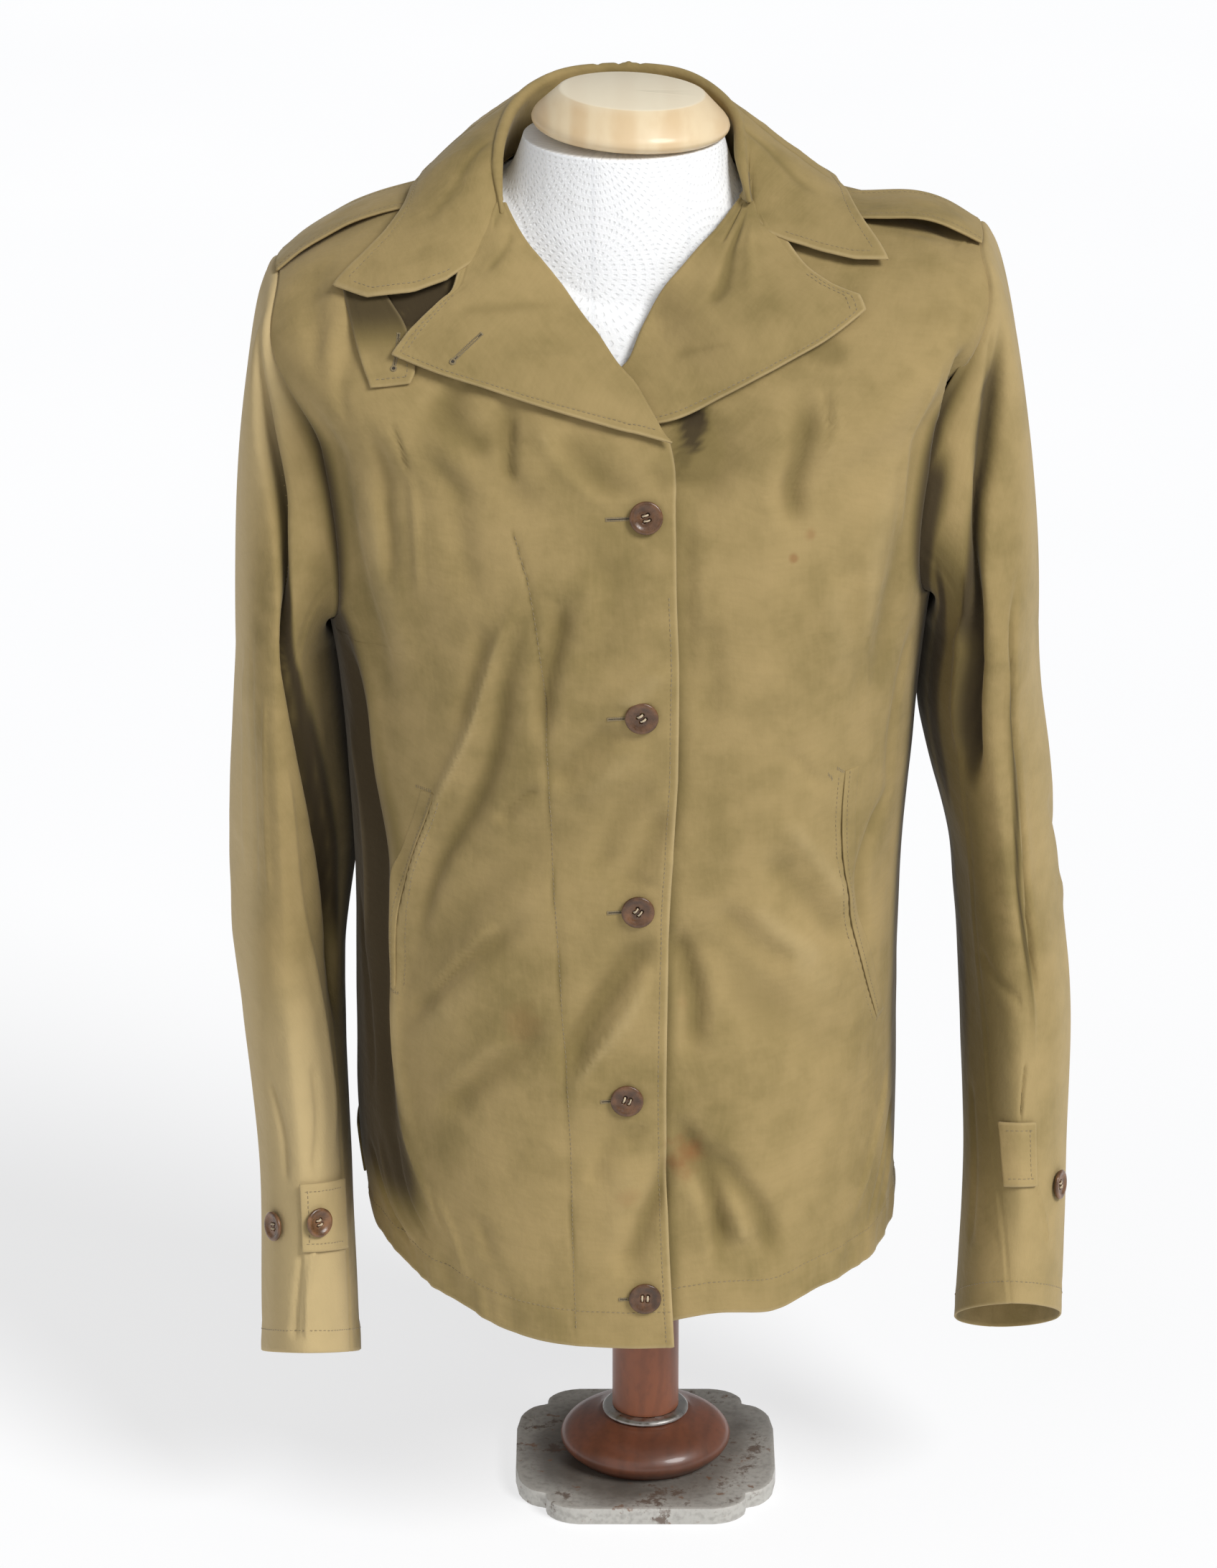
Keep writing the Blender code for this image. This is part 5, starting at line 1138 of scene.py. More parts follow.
class Look:
    """A material while it is made: short calls add nodes and give back their output sockets."""

    def __init__(self, name, **sockets):
        self.material = bpy.data.materials.new(name)
        self.material.use_nodes = True
        self.tree = self.material.node_tree
        self.shader = self.tree.nodes["Principled BSDF"]
        self.where = self.node("TexCoord").outputs["Object"]
        self.colour = None
        self.give(**sockets)

    def put(self, socket, value):
        """Link an input or set its value; a colour of three numbers is opaque."""
        if isinstance(value, bpy.types.NodeSocket):
            self.tree.links.new(value, socket)
        elif socket.type == "RGBA":
            socket.default_value = (*value, 1.0)
        else:
            socket.default_value = value

    def give(self, **sockets):
        """Set or link the shader's inputs by name; underscores in names stand for spaces."""
        for name, value in sockets.items():
            self.put(self.shader.inputs[name.replace("_", " ")], value)

    def node(self, kind, *inputs, **named):
        """A node with inputs in order, settings by lower-case name and inputs by capital name."""
        made = self.tree.nodes.new("ShaderNode" + kind)
        for name, value in named.items():
            if name.islower():
                setattr(made, name, value)
            else:
                self.put(made.inputs[name.replace("_", " ")], value)
        for socket, value in zip(made.inputs, inputs):
            self.put(socket, value)
        return made

    def math(self, operation, *inputs):
        return self.node("Math", *inputs, operation=operation).outputs[0]

    def vector(self, operation, *inputs, **named):
        """The outputs of a vector sum, as Vector and Value."""
        return self.node("VectorMath", *inputs, operation=operation, **named).outputs

    def parts(self, vector):
        return self.node("SeparateXYZ", Vector=vector).outputs

    def up(self):
        """How far the surface faces upwards."""
        return self.parts(self.node("NewGeometry").outputs["Normal"])[2]

    def attribute(self, name):
        return self.node("Attribute", attribute_name=name).outputs["Fac"]

    def noise(self, scale, detail=3.0, rough=0.5, at=None):
        at = self.where if at is None else at
        return self.node("TexNoise", Vector=at, Scale=scale, Detail=detail, Roughness=rough).outputs[0]

    def stretched(self, at, scale):
        return self.node("Mapping", Vector=at, Scale=scale).outputs[0]

    def ramp(self, value, low, high, out_low=0.0, out_high=1.0):
        return self.node("MapRange", interpolation_type="SMOOTHSTEP", Value=value, From_Min=low,
                         From_Max=high, To_Min=out_low, To_Max=out_high).outputs[0]

    def mix(self, factor, one, two):
        made = self.node("Mix", data_type="RGBA")
        for socket, value in zip([s for s in made.inputs if s.enabled], (factor, one, two)):
            self.put(socket, value)
        return [s for s in made.outputs if s.enabled][0]

    def paint(self, value, low, high, amount, over):
        """Lay a colour over those so far, from none at the low value to an amount at the high one."""
        self.colour = self.mix(self.ramp(value, low, high, 0.0, amount), self.colour, over)

    def bump(self, *layers):
        """Bumps on top of each other, each with its height, strength and distance in metres."""
        normal = {}
        for height, strength, distance in layers:
            made = self.node("Bump", Height=height, Strength=strength, Distance=distance, **normal)
            normal = {"Normal": made.outputs[0]}
        self.give(**normal)

    def spot(self, centre, radius, strength):
        """The strength at a point given in mm, fading to 0 towards the radius, with an uneven edge."""
        far = self.vector("DISTANCE", self.where, [float(c) * MM for c in centre])["Value"]
        total = self.math("MULTIPLY_ADD", self.noise(90.0), -radius * MM, far)
        return self.ramp(total, -0.35 * radius * MM, 0.35 * radius * MM, strength, 0.0)

    def finished(self):
        self.give(Base_Color=self.colour)
        return self.material


def darker(colour, share):
    return tuple(share * c for c in colour)


def cloth_look(name, tan, stains=(), rubbed=0.34):
    """Cotton poplin, greener with unfaded dye and darker with painted shade in its folds, and bleached to tan
    where it is worn.
    """
    look = Look(name, Roughness=0.86, Sheen_Weight=0.16, Sheen_Roughness=0.45,
                Sheen_Tint=(1.0, 0.90, 0.74), Specular_IOR_Level=0.22)
    cloth = look.node("UVMap", uv_map="cloth").outputs[0]
    worn, hollow = look.attribute("wear"), look.attribute("hollow")
    broad, patches = look.noise(9.0, 3.0, 0.55), look.noise(34.0, 4.0, 0.6)
    slubs = look.noise(THREADS, at=look.stretched(cloth, (1.0, 0.12, 1.0)))
    picks = look.noise(THREADS, at=look.stretched(cloth, (0.12, 1.0, 1.0)))
    look.colour = KHAKI
    look.paint(broad, 0.34, 0.66, 1.0, tuple(0.5 * (a + b) for a, b in zip(KHAKI, TAN)))
    look.paint(broad, 0.60, 0.36, 0.30, GREEN)
    look.paint(patches, 0.30, 0.80, tan, TAN)
    look.paint(patches, 0.55, 0.25, 0.25, GREEN)
    look.paint(slubs, 0.35, 0.75, 0.12, TAN)
    look.paint(picks, 0.35, 0.75, 0.07, GREEN)
    # Unfaded dye greens the folds; painted shade darkens deep folds, the sides under the sleeves and the
    # places under the collar and lapels.
    look.paint(hollow, 0.0, 0.6, 0.75, GREEN)
    look.paint(hollow, 0.4, 1.0, 0.93, DEEPEST_SHADE)
    # Pale of wear; on the sleeves it is partly painted light on their outer sides.
    look.paint(worn, 0.1, 1.0, rubbed, PALE)
    for centre, radius, strength in stains:
        look.colour = look.mix(look.spot(centre, radius, strength), look.colour, RUST)
    weave = look.math("ADD", slubs, picks)
    look.bump((look.noise(75.0, 4.0, 0.55), 0.6, 0.0016), (weave, 0.5, 0.00016))
    return look.finished()


def thread_look(name, colour):
    look = Look(name, Roughness=0.7, Sheen_Weight=0.3)
    look.colour = look.mix(look.noise(700.0, 2.0), darker(colour, 0.62), colour)
    return look.finished()


def button_look(name, colour):
    look = Look(name, Coat_Weight=0.12, Coat_Roughness=0.2)
    light = tuple(min(1.5 * c, 1) for c in colour)
    look.colour = look.mix(look.ramp(look.noise(160.0, 4.0), 0.3, 0.75), darker(colour, 0.55), light)
    scuff = look.noise(900.0)
    look.give(Roughness=look.ramp(scuff, 0.3, 0.8, 0.25, 0.5))
    look.bump((scuff, 0.15, 0.0002))
    return look.finished()


def wood_look(name, light, dark, gloss, scale, stretch, figure, lit_top=0.0):
    """Turned wood: bent bands of grain and fine fibre, between two colours; a top painted paler as painted
    light.
    """
    look = Look(name, Roughness=0.45, Coat_Weight=gloss, Coat_Roughness=0.12)
    run = look.stretched(look.where, stretch)
    grain = look.node("TexWave", wave_type="BANDS", bands_direction="X", Vector=run, Scale=scale,
                      Distortion=9.0, Detail=3.0, Detail_Scale=0.8).outputs[1]
    fibre = look.noise(scale * 9, 4.0, at=run)
    look.colour = light
    look.paint(grain, 0.3, 1.0, figure, dark)
    look.paint(look.noise(scale * 0.4, at=run), 0.38, 0.66, 0.55, dark)
    look.paint(fibre, 0.4, 0.8, 0.3, dark)
    # Painted light: faces that look up are paler.
    look.paint(look.up(), 0.80, 0.98, lit_top, (0.90, 0.82, 0.64))
    look.bump((fibre, 0.2, 0.0003))
    return look.finished()


def towel_look():
    """White paper towelling, embossed with dots on rings, and the soft line of its overlap."""
    look = Look("paper_towelling", Roughness=0.95, Sheen_Weight=0.2)
    cloth = look.node("UVMap", uv_map="cloth").outputs[0]
    inside = look.vector("FRACTION", look.vector("SCALE", cloth, Scale=1 / TOWEL_CELL)[0])[0]
    centred = look.vector("SUBTRACT", inside, (0.5, 0.5, 0.0))[0]
    parts = look.parts(centred)
    ring = look.math("MULTIPLY", look.vector("LENGTH", centred)["Value"], TOWEL_RINGS)
    number = look.math("ROUND", ring)
    off = look.math("ABSOLUTE", look.math("SUBTRACT", ring, number))
    angle = look.math("ARCTAN2", parts[1], parts[0])
    beat = look.math("COSINE", look.math("MULTIPLY", look.math("MULTIPLY", angle, number), 10.0))
    dots = look.math("MULTIPLY", look.ramp(off, 0.30, 0.10), look.ramp(beat, 0.0, 0.8))
    fuzz, soft = look.noise(900.0, at=cloth), look.noise(45.0, at=cloth)
    look.colour = look.mix(dots, (0.905, 0.915, 0.925), (0.855, 0.865, 0.88))
    look.paint(soft, 0.3, 0.8, 0.4, (0.92, 0.93, 0.94))
    across = look.math("MULTIPLY_ADD", fuzz, 0.0012, look.parts(look.where)[0])
    for edge in TOWEL_EDGES:
        away = look.math("ABSOLUTE", look.math("SUBTRACT", across, edge * MM))
        look.colour = look.mix(look.ramp(away, 0.0002, 0.0016, 0.30, 0.0), look.colour, (0.70, 0.72, 0.75))
    look.bump((soft, 0.5, 0.003), (look.math("MULTIPLY_ADD", dots, -1.0, fuzz), 0.5, 0.0006))
    return look.finished()


def plate_look():
    """Silver paint on cast iron, worn to pale metal on its edges, with rust spots; paler towards its rim,
    partly as painted reflection.
    """
    look = Look("silver_paint", Metallic=0.35)
    broad, grit = look.noise(26.0, 5.0, 0.6), look.noise(320.0, 4.0)
    look.colour = (0.150, 0.132, 0.112)
    look.paint(broad, 0.35, 0.68, 1.0, (0.25, 0.225, 0.195))
    # Paler paint towards the rim, as worn paint and as painted reflection; the sides are painted paler than
    # the top.
    flat = look.vector("MULTIPLY", look.where, (1.0, 1.0, 0.0))[0]
    out = look.math("MULTIPLY_ADD", broad, 0.030, look.vector("LENGTH", flat)["Value"])
    look.paint(out, 0.066, 0.092, 0.85, (0.53, 0.51, 0.47))
    look.paint(look.up(), 0.7, 0.2, 0.75, (0.50, 0.49, 0.455))
    look.paint(grit, 0.40, 0.72, 0.35, (0.14, 0.12, 0.105))
    look.paint(look.noise(52.0, 6.0, 0.75), 0.55, 0.64, 0.8, (0.105, 0.060, 0.038))
    look.paint(look.noise(120.0, 4.0, 0.6), 0.62, 0.70, 0.75, (0.20, 0.088, 0.036))
    edge = look.math("MULTIPLY", look.attribute("wear"), look.ramp(grit, 0.35, 0.55))
    look.paint(edge, 0.1, 0.8, 0.45, (0.62, 0.60, 0.56))
    look.give(Roughness=look.ramp(broad, 0.3, 0.8, 0.38, 0.7))
    look.bump((grit, 0.35, 0.0005))
    return look.finished()


def steel_look():
    look = Look("dull_steel", Metallic=1.0)
    mark = look.noise(240.0, 4.0)
    look.colour = look.mix(mark, (0.30, 0.28, 0.26), (0.62, 0.61, 0.59))
    look.give(Roughness=look.ramp(mark, 0.3, 0.7, 0.25, 0.5))
    return look.finished()


def floor_look():
    """White paper that glows a little, so that its shadows stay faint."""
    look = Look("pale_floor", Roughness=0.9, Emission_Strength=0.69)
    cloud = look.noise(1.5, 2.0)
    look.colour = look.mix(cloud, (0.30, 0.302, 0.305), (0.33, 0.332, 0.335))
    look.give(Emission_Color=look.mix(cloud, (0.98, 0.985, 1.0), (1.0, 1.0, 1.0)))
    return look.finished()


# ---------------------------------------------------------------- fronts and back


def panel_rows():
    """Level at the outer edge, even level and the armhole's turn of each row."""
    rows = [(level, level, None) for level in np.arange(0.0, 0.6955, 0.0046)]
    for turn in np.arange(180.0, -0.1, -2.5):
        level = float(armhole(turn, 1)[1])
        rows.append((level, ARMHOLE_LEVEL + ARMHOLE_REACH * (1 - turn / 90.0), turn))
    return rows + [(level, level, None) for level in np.linspace(0.943, 1.0, 20)]


def outer_edge(turn, side, ahead):
    """Angle where a row ends: at the side or shoulder seam, or at the armhole's front or back."""
    if turn is None or turn in (0.0, 180.0):
        return side * 90.0
    return float(armhole(ahead * turn, side)[0])


def hem_cut(angles, levels, side):
    """Levels that start at the hem's cut edge instead of at 0."""
    right, left = (curve(HEMS[way]["angle"], HEMS[way]["level"], wrapped(angles)) for way in (-1, 1))
    return levels + np.where(side < 0, right, left) * (1 - ease(0.0, HEM_BLEND, levels))


def hem_relief(angles, above):
    """The turned hem: double cloth, a stitch line, and uneven puckers along it."""
    x = (angles % 360.0) * ANGLE_MM
    ripple = noise(x / 11.25, above * 0 + 3.3, 31, 80) + 0.6 * noise(x / 5.0, above / 30, 32, 180)
    strength = 0.7 + 0.5 * noise(x / 45.0, above * 0 + 7.7, 33, 20)
    band = 0.45 * (1 - ease(HEM_LINE, HEM_LINE + 4.0, above))
    return band + 2.2 * bell(above - 12.0, 16.0) * strength * ripple + trough(above, HEM_LINE, 0.45, 1.3)


def edge_columns(length):
    """Shares of a row of a front: close together by its inner edge, then even."""
    close = np.array(NEAR_EDGE) / length
    return np.concatenate([close[:-1], np.linspace(close[-1], 1.0, FRONT_COLUMNS)])


def facing(angles, levels):
    """Distance in mm from the stitch line of the right front's facing, and where that line shows."""
    line = np.interp(levels, FACING_LINE["level"][::-1], FACING_LINE["angle"][::-1])
    return (angles - line) * ANGLE_MM, span(levels, 0.0, 0.03, 0.835, 0.855)


def front_hollow(side, grid, angles, levels, cut, flat):
    """Where a front is painted dark with shade: in folds (with unfaded dye), under the arms and the collar,
    and beside the button edge.
    """
    # Painted shade on the front beside the sleeve, at the armhole.
    beside_sleeve = 0.9 * span(levels, 0.685, 0.72, 0.84, 0.93) * bell(grid.last, 9.0)
    hollow = np.maximum.reduce([hollows(body_relief(angles, cut)), sheltered(angles, levels, side),
                                beside_sleeve])
    for angle, level, across, up, strength in NICHES:
        far = np.hypot((angles - angle) * ANGLE_MM / across, (cut - level) * LEVEL_MM / up)
        hollow = np.maximum(hollow, strength * (1 - ease(0.5, 1.5, far)))
    if side > 0:
        # The painted shadow that the right front's edge casts on the left front beside it.
        away = (angles - np.interp(cut, EDGE_RIGHT["level"], EDGE_RIGHT["angle"])) * ANGLE_MM
        strength = 0.42 + 0.16 * noise(angles * 0, cut * 12, 91)
        return np.maximum(hollow, strength * bell(np.maximum(away, 0.0), 5.5) * flat)
    # A thin line of painted shade along the right front's facing stitch line.
    away, shown = facing(angles, levels)
    return np.maximum(hollow, 0.5 * shown * bell(away, 0.9))


def front_relief(side, grid, angles, levels, above, flat):
    """The sewing that shows on a front: its hem, button edge, facing and pocket."""
    relief = hem_relief(angles, above)
    relief = relief + (rolled_edge(grid.first, 0.3, 3.5) + trough(grid.first, EDGE_STITCH, 0.35, 0.8)) * flat
    if side < 0:
        away, shown = facing(angles, levels)
        relief = relief + shown * (trough(away, 0.0, 0.75, 1.3) + 0.35 * ease(-1.0, 3.0, away) * flat)
    pocket = POCKETS[side]
    line = np.interp(levels, pocket["level"][::-1], pocket["angle"][::-1])
    low, high = pocket["level"].min(), pocket["level"].max()
    away = (angles - line) * ANGLE_MM * -side
    shown = span(levels, low, low + 0.02, high - 0.02, high)
    return relief + shown * (trough(away, 5.0, 0.35, 1.0) + trough(away, 0.0, 0.7, 1.4))


def front_grid(side):
    edge = EDGES[side]
    angles, levels = [], []
    for level, even, turn in panel_rows():
        inner_angle = float(np.interp(even, edge["row"], edge["angle"]))
        inner_level = float(np.interp(even, edge["row"], edge["level"]))
        last = outer_edge(turn, side, 1)
        shares = edge_columns(abs(last - inner_angle) * ANGLE_MM + 1.0)
        angles.append(inner_angle + (last - inner_angle) * shares)
        levels.append(inner_level + (level - inner_level) * shares)
    angles, levels = np.array(angles), np.array(levels)
    above = levels * ABOVE_MM
    cut = hem_cut(angles, levels, side)
    out = under_front(angles, cut) if side > 0 else 0.0
    grid = Grid(body(angles, cut, out, 1.0), side)
    flat = 1 - ease(0.86, 0.92, levels)
    hollow = front_hollow(side, grid, angles, levels, cut, flat)
    grid = grid.pressed(front_relief(side, grid, angles, levels, above, flat))
    return angles, cut, grid, above, hollow


def back_grid():
    shares = np.linspace(0.0, 1.0, 150)
    bow = 1 - (2 * shares - 1) ** 4
    angles, levels, outs = [], [], []
    for level, even, turn in panel_rows():
        start, end = outer_edge(turn, 1, -1), 360.0 + outer_edge(turn, -1, -1)
        tuck = 1.0 if turn is None else 0.4
        angles.append(np.concatenate([[start - tuck], start + (end - start) * shares, [end + tuck]]))
        levels.append(np.concatenate([[level], level + (even - level) * bow, [level]]))
        outs.append(np.concatenate([[-1.0], np.zeros(len(shares)), [-1.0]]))
    angles, levels, outs = np.array(angles), np.array(levels), np.array(outs)
    above = levels * ABOVE_MM
    side = np.where(angles > 180.0, -1, 1)
    levels = hem_cut(angles, levels, side)
    grid = Grid(body(angles, levels, outs, 1.0), 1)
    # Painted shade in the folds and at the sides under the sleeves, with unfaded dye in the folds.
    hollow = np.maximum(hollows(body_relief(angles, levels)), sheltered(angles, levels, side))
    return grid.pressed(hem_relief(angles, above) * (outs > -0.5)), above, hollow


def hem_path(above, count=260):
    """Rows and columns of the hem's stitch line, from the height of each point above the hem."""
    columns = np.linspace(0, above.shape[1] - 1, count)
    rows = [np.interp(HEM_LINE, above[:, int(c)], np.arange(above.shape[0])) for c in columns]
    return np.array(rows), columns


def column_at(angles, row, angle):
    """Fractional column of a row where it has an angle."""
    sense = 1 if angles[0, -1] > angles[0, 0] else -1
    return float(np.interp(sense * angle, sense * angles[row], np.arange(angles.shape[1])))


def line_path(angles, levels, line):
    """Rows and columns of a line given by angle and level."""
    rows, columns = [], []
    order = np.argsort(line["level"])
    for row in range(0, angles.shape[0], 2):
        level = float(levels[row].mean())
        for _ in range(3):
            target = float(np.interp(level, line["level"][order], line["angle"][order]))
            column = column_at(angles, row, target)
            level = float(np.interp(column, np.arange(angles.shape[1]), levels[row]))
        if line["level"].min() < level < line["level"].max():
            rows.append(float(row))
            columns.append(column)
    return np.array(rows), np.array(columns)


def place_on(angles, levels, angle, level):
    """Row and column of one place given by angle and level."""
    best = None
    for row in range(angles.shape[0]):
        column = column_at(angles, row, angle)
        here = float(np.interp(column, np.arange(angles.shape[1]), levels[row]))
        if best is None or here <= level:
            best = (row, column, here)
        else:
            share = (level - best[2]) / max(here - best[2], 1e-6)
            return best[0] + share * (row - best[0]), best[1] + share * (column - best[1])
    return float(best[0]), best[1]


def build_front(side, label, look):
    name = f"front_{label}"
    angles, levels, grid, above, hollow = front_grid(side)
    edges = worn_edge(grid.near("first", "low") if side < 0 else grid.low)
    wear = np.maximum(edges, ridges(body_relief(angles, levels)))
    cloth_piece(name, grid, look, FRONT_CUTS[side], wear=wear, hollow=hollow)
    sew(name, grid, hem_path(above))
    if side < 0:
        topstitch(name, grid, ["first"], EDGE_STITCH, 0.004, 0.70)
        sew(name, grid, line_path(angles, levels, FACING_LINE))
        for angle, level in zip(*FRONT_BUTTONS.values()):
            start = place_on(angles, levels, angle - 3.7, level - 0.002)
            buttonhole(name, grid, start, place_on(angles, levels, angle + 0.5, level))
    pocket = POCKETS[side]
    sew(name, grid, line_path(angles, levels, dict(pocket, angle=pocket["angle"] - side * 2.0)))
    for tack in TACKS[side]:
        (row, column), (row_1, column_1) = (place_on(angles, levels, *end) for end in tack)
        for shift in (-0.25, 0.0, 0.25):
            path = np.linspace(row, row_1, 12) + shift, np.linspace(column, column_1, 12)
            sew(name, grid, path, 1.4, 0.22, 0.3)


def build_back(look):
    grid, above, hollow = back_grid()
    cloth_piece("back", grid, look, (0.52, 0.68), wear=worn_edge(grid.low), hollow=hollow)
    sew("back", grid, hem_path(above, 500))


def build_welt(side, label, look):
    rows = np.linspace(0.0, 1.0, 80)[:, None]
    across = np.linspace(0.0, 1.0, 14)[None, :]
    line = read(POCKETS[side], np.linspace(0.0, 1.0, len(POCKETS[side]["angle"])), rows)
    angle = line["angle"] + side * WELT_WIDTH * across
    lift = 0.5 * np.sin(np.pi * np.linspace(0.02, 0.98, 80))[:, None] ** 0.5 - 0.4 * across
    grid = Grid(body(angle, line["level"], lift + 0.35, 1.0), -side)
    name = f"pocket_welt_{label}"
    cloth_piece(name, grid, look, (0.02, 0.17), rests_on=f"front_{label}_cloth", held="laid",
                thickness=0.9, wear=0.35 * worn_edge(grid.first))
    topstitch(name, grid, ["first"], 3.0)


def build_side_tab(side, label, look):
    level = np.linspace(*SIDE_TAB_LEVELS, 18)[:, None]
    angle = side * (SIDE_TAB_STARTS[side] + SIDE_TAB_LENGTH * np.linspace(0.0, 1.0, 34)[None, :])
    grid = Grid(body(angle, level, TAB_LIFT + TAB_WALL), side)
    name, edges = f"side_tab_{label}", ("low", "high", "last")
    cloth_piece(name, grid, look, (0.07, 0.035), rests_on="back_cloth", held="laid",
                thickness=TAB_CLOTH, wear=0.5 * worn_edge(grid.near(*edges)))
    topstitch(name, grid, edges, 3.5, 0.05, 0.95)


def build_strap(side, label, look):
    along = np.linspace(0.0, 1.0, 56)[:, None]
    level = STRAP_LEVELS[0] + (STRAP_LEVELS[1] - STRAP_LEVELS[0]) * along
    level, depth = np.broadcast_arrays(level, np.linspace(*STRAPS[side], 30)[None, :])
    lift = TAB_LIFT + STRAP_BULGES[side] * np.sin(np.pi * np.clip(1.15 * along, 0, 1)) ** 1.5 + WALL
    grid = Grid(body(angle_at_depth(level, depth, side), level, lift), side)
    rumple = 0.5 * noise(grid.first / 12, grid.low / 16, 71 + side)
    grid = grid.pressed(trough(grid.near("first", "last"), 4.5, 0.25, 0.8) + rumple)
    name = f"shoulder_strap_{label}"
    cloth_piece(name, grid, look, (0.05, 0.11), rests_on="back_cloth", held="laid",
                thickness=TRIM_CLOTH, wear=0.6 * worn_edge(grid.near("first", "last")))
    topstitch(name, grid, ("first", "last"), 4.5)


def build_throat_tab(look):
    name = "throat_tab"
    across = np.linspace(0.0, 1.0, 20)[None, :]
    rows = np.linspace(0.0, 1.0, 60)[:, None]
    here = read(THROAT_TAB, np.linspace(0, 1, 6), rows)
    angle = here["outer_angle"] + (here["inner_angle"] - here["outer_angle"]) * across
    level = here["outer_level"] + (here["inner_level"] - here["outer_level"]) * across
    grid = Grid(body(angle, level, TAB_LIFT + TAB_WALL), -1)
    near = grid.near("first", "last", "high")
    grid = grid.pressed(trough(near, 3.6, 0.25, 0.8) + 0.4 * noise(grid.first / 8, grid.low / 12, 75))
    # Its upper end is painted dark with the collar's shadow.
    cloth_piece(name, grid, look, (0.03, 0.08), rests_on="front_right_cloth", held="laid",
                thickness=TAB_CLOTH, wear=0.5 * worn_edge(near), hollow=0.85 * (1 - ease(0.30, 0.78, rows)))
    sew(name, grid, grid.beside("high", 3.6, 0.15, 0.9, 40))
    sew(name, grid, grid.beside("last", 3.6, 0.66, 0.95, 60))
    buttonhole(name, grid, (43.0, 11.5), (28.0, 16.0), eyelet=True)


# ---------------------------------------------------------------- sleeves and cuffs


def sleeve_grid(side):
    turn = np.arange(0.0, 360.0, 2.25)[None, :]
    under = [body(*armhole(turn[0], side, scale), sink) for scale, sink in ((1.035, -2.6), (1.012, -2.0))]
    cap_rows = np.concatenate([np.linspace(0.0, 0.12, 7), np.linspace(0.15, 0.985, 44)])
    arm_rows = np.concatenate([np.linspace(0.0, 0.97, 132), np.linspace(0.975, 1.0, 8)])
    cap, arm = sleeve_cap(side, turn, cap_rows[:, None]), sleeve(side, turn, arm_rows[:, None])
    grid = Grid(np.concatenate([np.array(under), cap, arm]), side, wrap=True)
    share = np.concatenate([[-1.0, -1.0], cap_rows - 1.0, arm_rows])[:, None]
    relief = sleeve_creases(side, turn, share) * ease(-1.0, -0.86, share)
    gather = span(share, -1.0, -0.92, -0.80, -0.35) * rise(turn) ** 2
    relief = relief + 0.9 * gather * noise(turn / 9.0, share * 4 + 8, 45 + side, 40)
    # inside the arm the sleeve leans on the body
    until = LEAN_UNTIL[side]
    lean = bell(turn - 184.0, 46.0) * span(share, -0.8, -0.2, until - 0.10, until + 0.17)
    relief = relief + lean * (7.0 + 14.0 * np.clip(share, 0.0, 1.0))
    for seam in (curve(SLEEVE_SEAM["share"], SLEEVE_SEAM[SIDES[side]], share), BACK_SEAM):
        away = (turn - seam) * TURN_MM
        line = trough(away, 0.0, 0.7, 1.3) + 0.3 * bell(away - 3.4, 2.6)
        relief = relief + line * ease(-1.0, -0.9, share)
    ripple = noise(turn / 13.9, grid.high / 12, 47 + side, 26)
    relief = relief + 0.3 * (1 - ease(13.0, 16.0, grid.high)) + 0.6 * ripple * bell(grid.high - 12, 9)
    return turn, share, grid.pressed(relief), relief


def sleeve_bleach_and_light(turn, share, side):
    """The outer side of a sleeve is bleached and painted lighter where light falls on it, the right one most
    and down to its cuff.
    """
    outer = 1 - span(turn, 30.0, 78.0, 270.0, 330.0)
    low = ease(0.35, 0.75, share) * (1 - ease(110.0, 150.0, turn))
    return BLEACH_AND_LIGHT[side] * np.maximum(outer, 0.85 * low)


def sleeve_shade(turn, share, relief, side):
    """A sleeve's painted shade: deep in its folds, on its inner side and along the armhole a sleeve is
    painted dark.
    """
    strips = [crease(turn * TURN_MM, sleeve_length(share), sleeve_line(smooth_line(points)), width, strength,
                     360 * TURN_MM, 0.24) for width, strength, *points in SLEEVE_SHADES[side]]
    # Painted shade on the inner side, on the half towards the body and along the armhole.
    inner = span(turn, 138.0, 168.0, 200.0, 232.0) * (1 - 0.5 * ease(0.5, 0.9, share))
    half_shade = SLEEVE_HALF_SHADE[side] * span(turn, 84.0, 112.0, 226.0, 250.0) * (1 - ease(0.75, 1.0, share))
    seam = bell(share + 1.0, 0.13) * span(turn, 34.0, 70.0, 200.0, 240.0)
    if side > 0:
        beside = (1 - ease(0.14, 0.36, share + 1.0)) * span(turn, 66.0, 88.0, 200.0, 240.0)
        seam = np.maximum(seam, 1.05 * beside)
    folds = np.clip(-relief / 9.0, 0.0, 0.8)
    return np.clip(np.maximum.reduce([folds, *strips, 0.95 * inner, half_shade, 0.9 * seam]), 0.0, 1.0)


def build_sleeve(side, label, look):
    turn, share, grid, relief = sleeve_grid(side)
    # Worn cuff edges, and bleaching with painted light on the outer side.
    wear = np.maximum(0.5 * worn_edge(grid.high), sleeve_bleach_and_light(turn, share, side))
    upper = f"sleeve_{label}_upper"
    cloth_piece(f"sleeve_{label}", grid, look, (0.40, 0.62), [upper, f"sleeve_{label}_under"],
                f"front_{label}_cloth", "hung", wear=wear, hollow=sleeve_shade(turn, share, relief, side))
    sew(upper, grid, grid.beside("high", 12.0, 0.0, 1.0, 300))


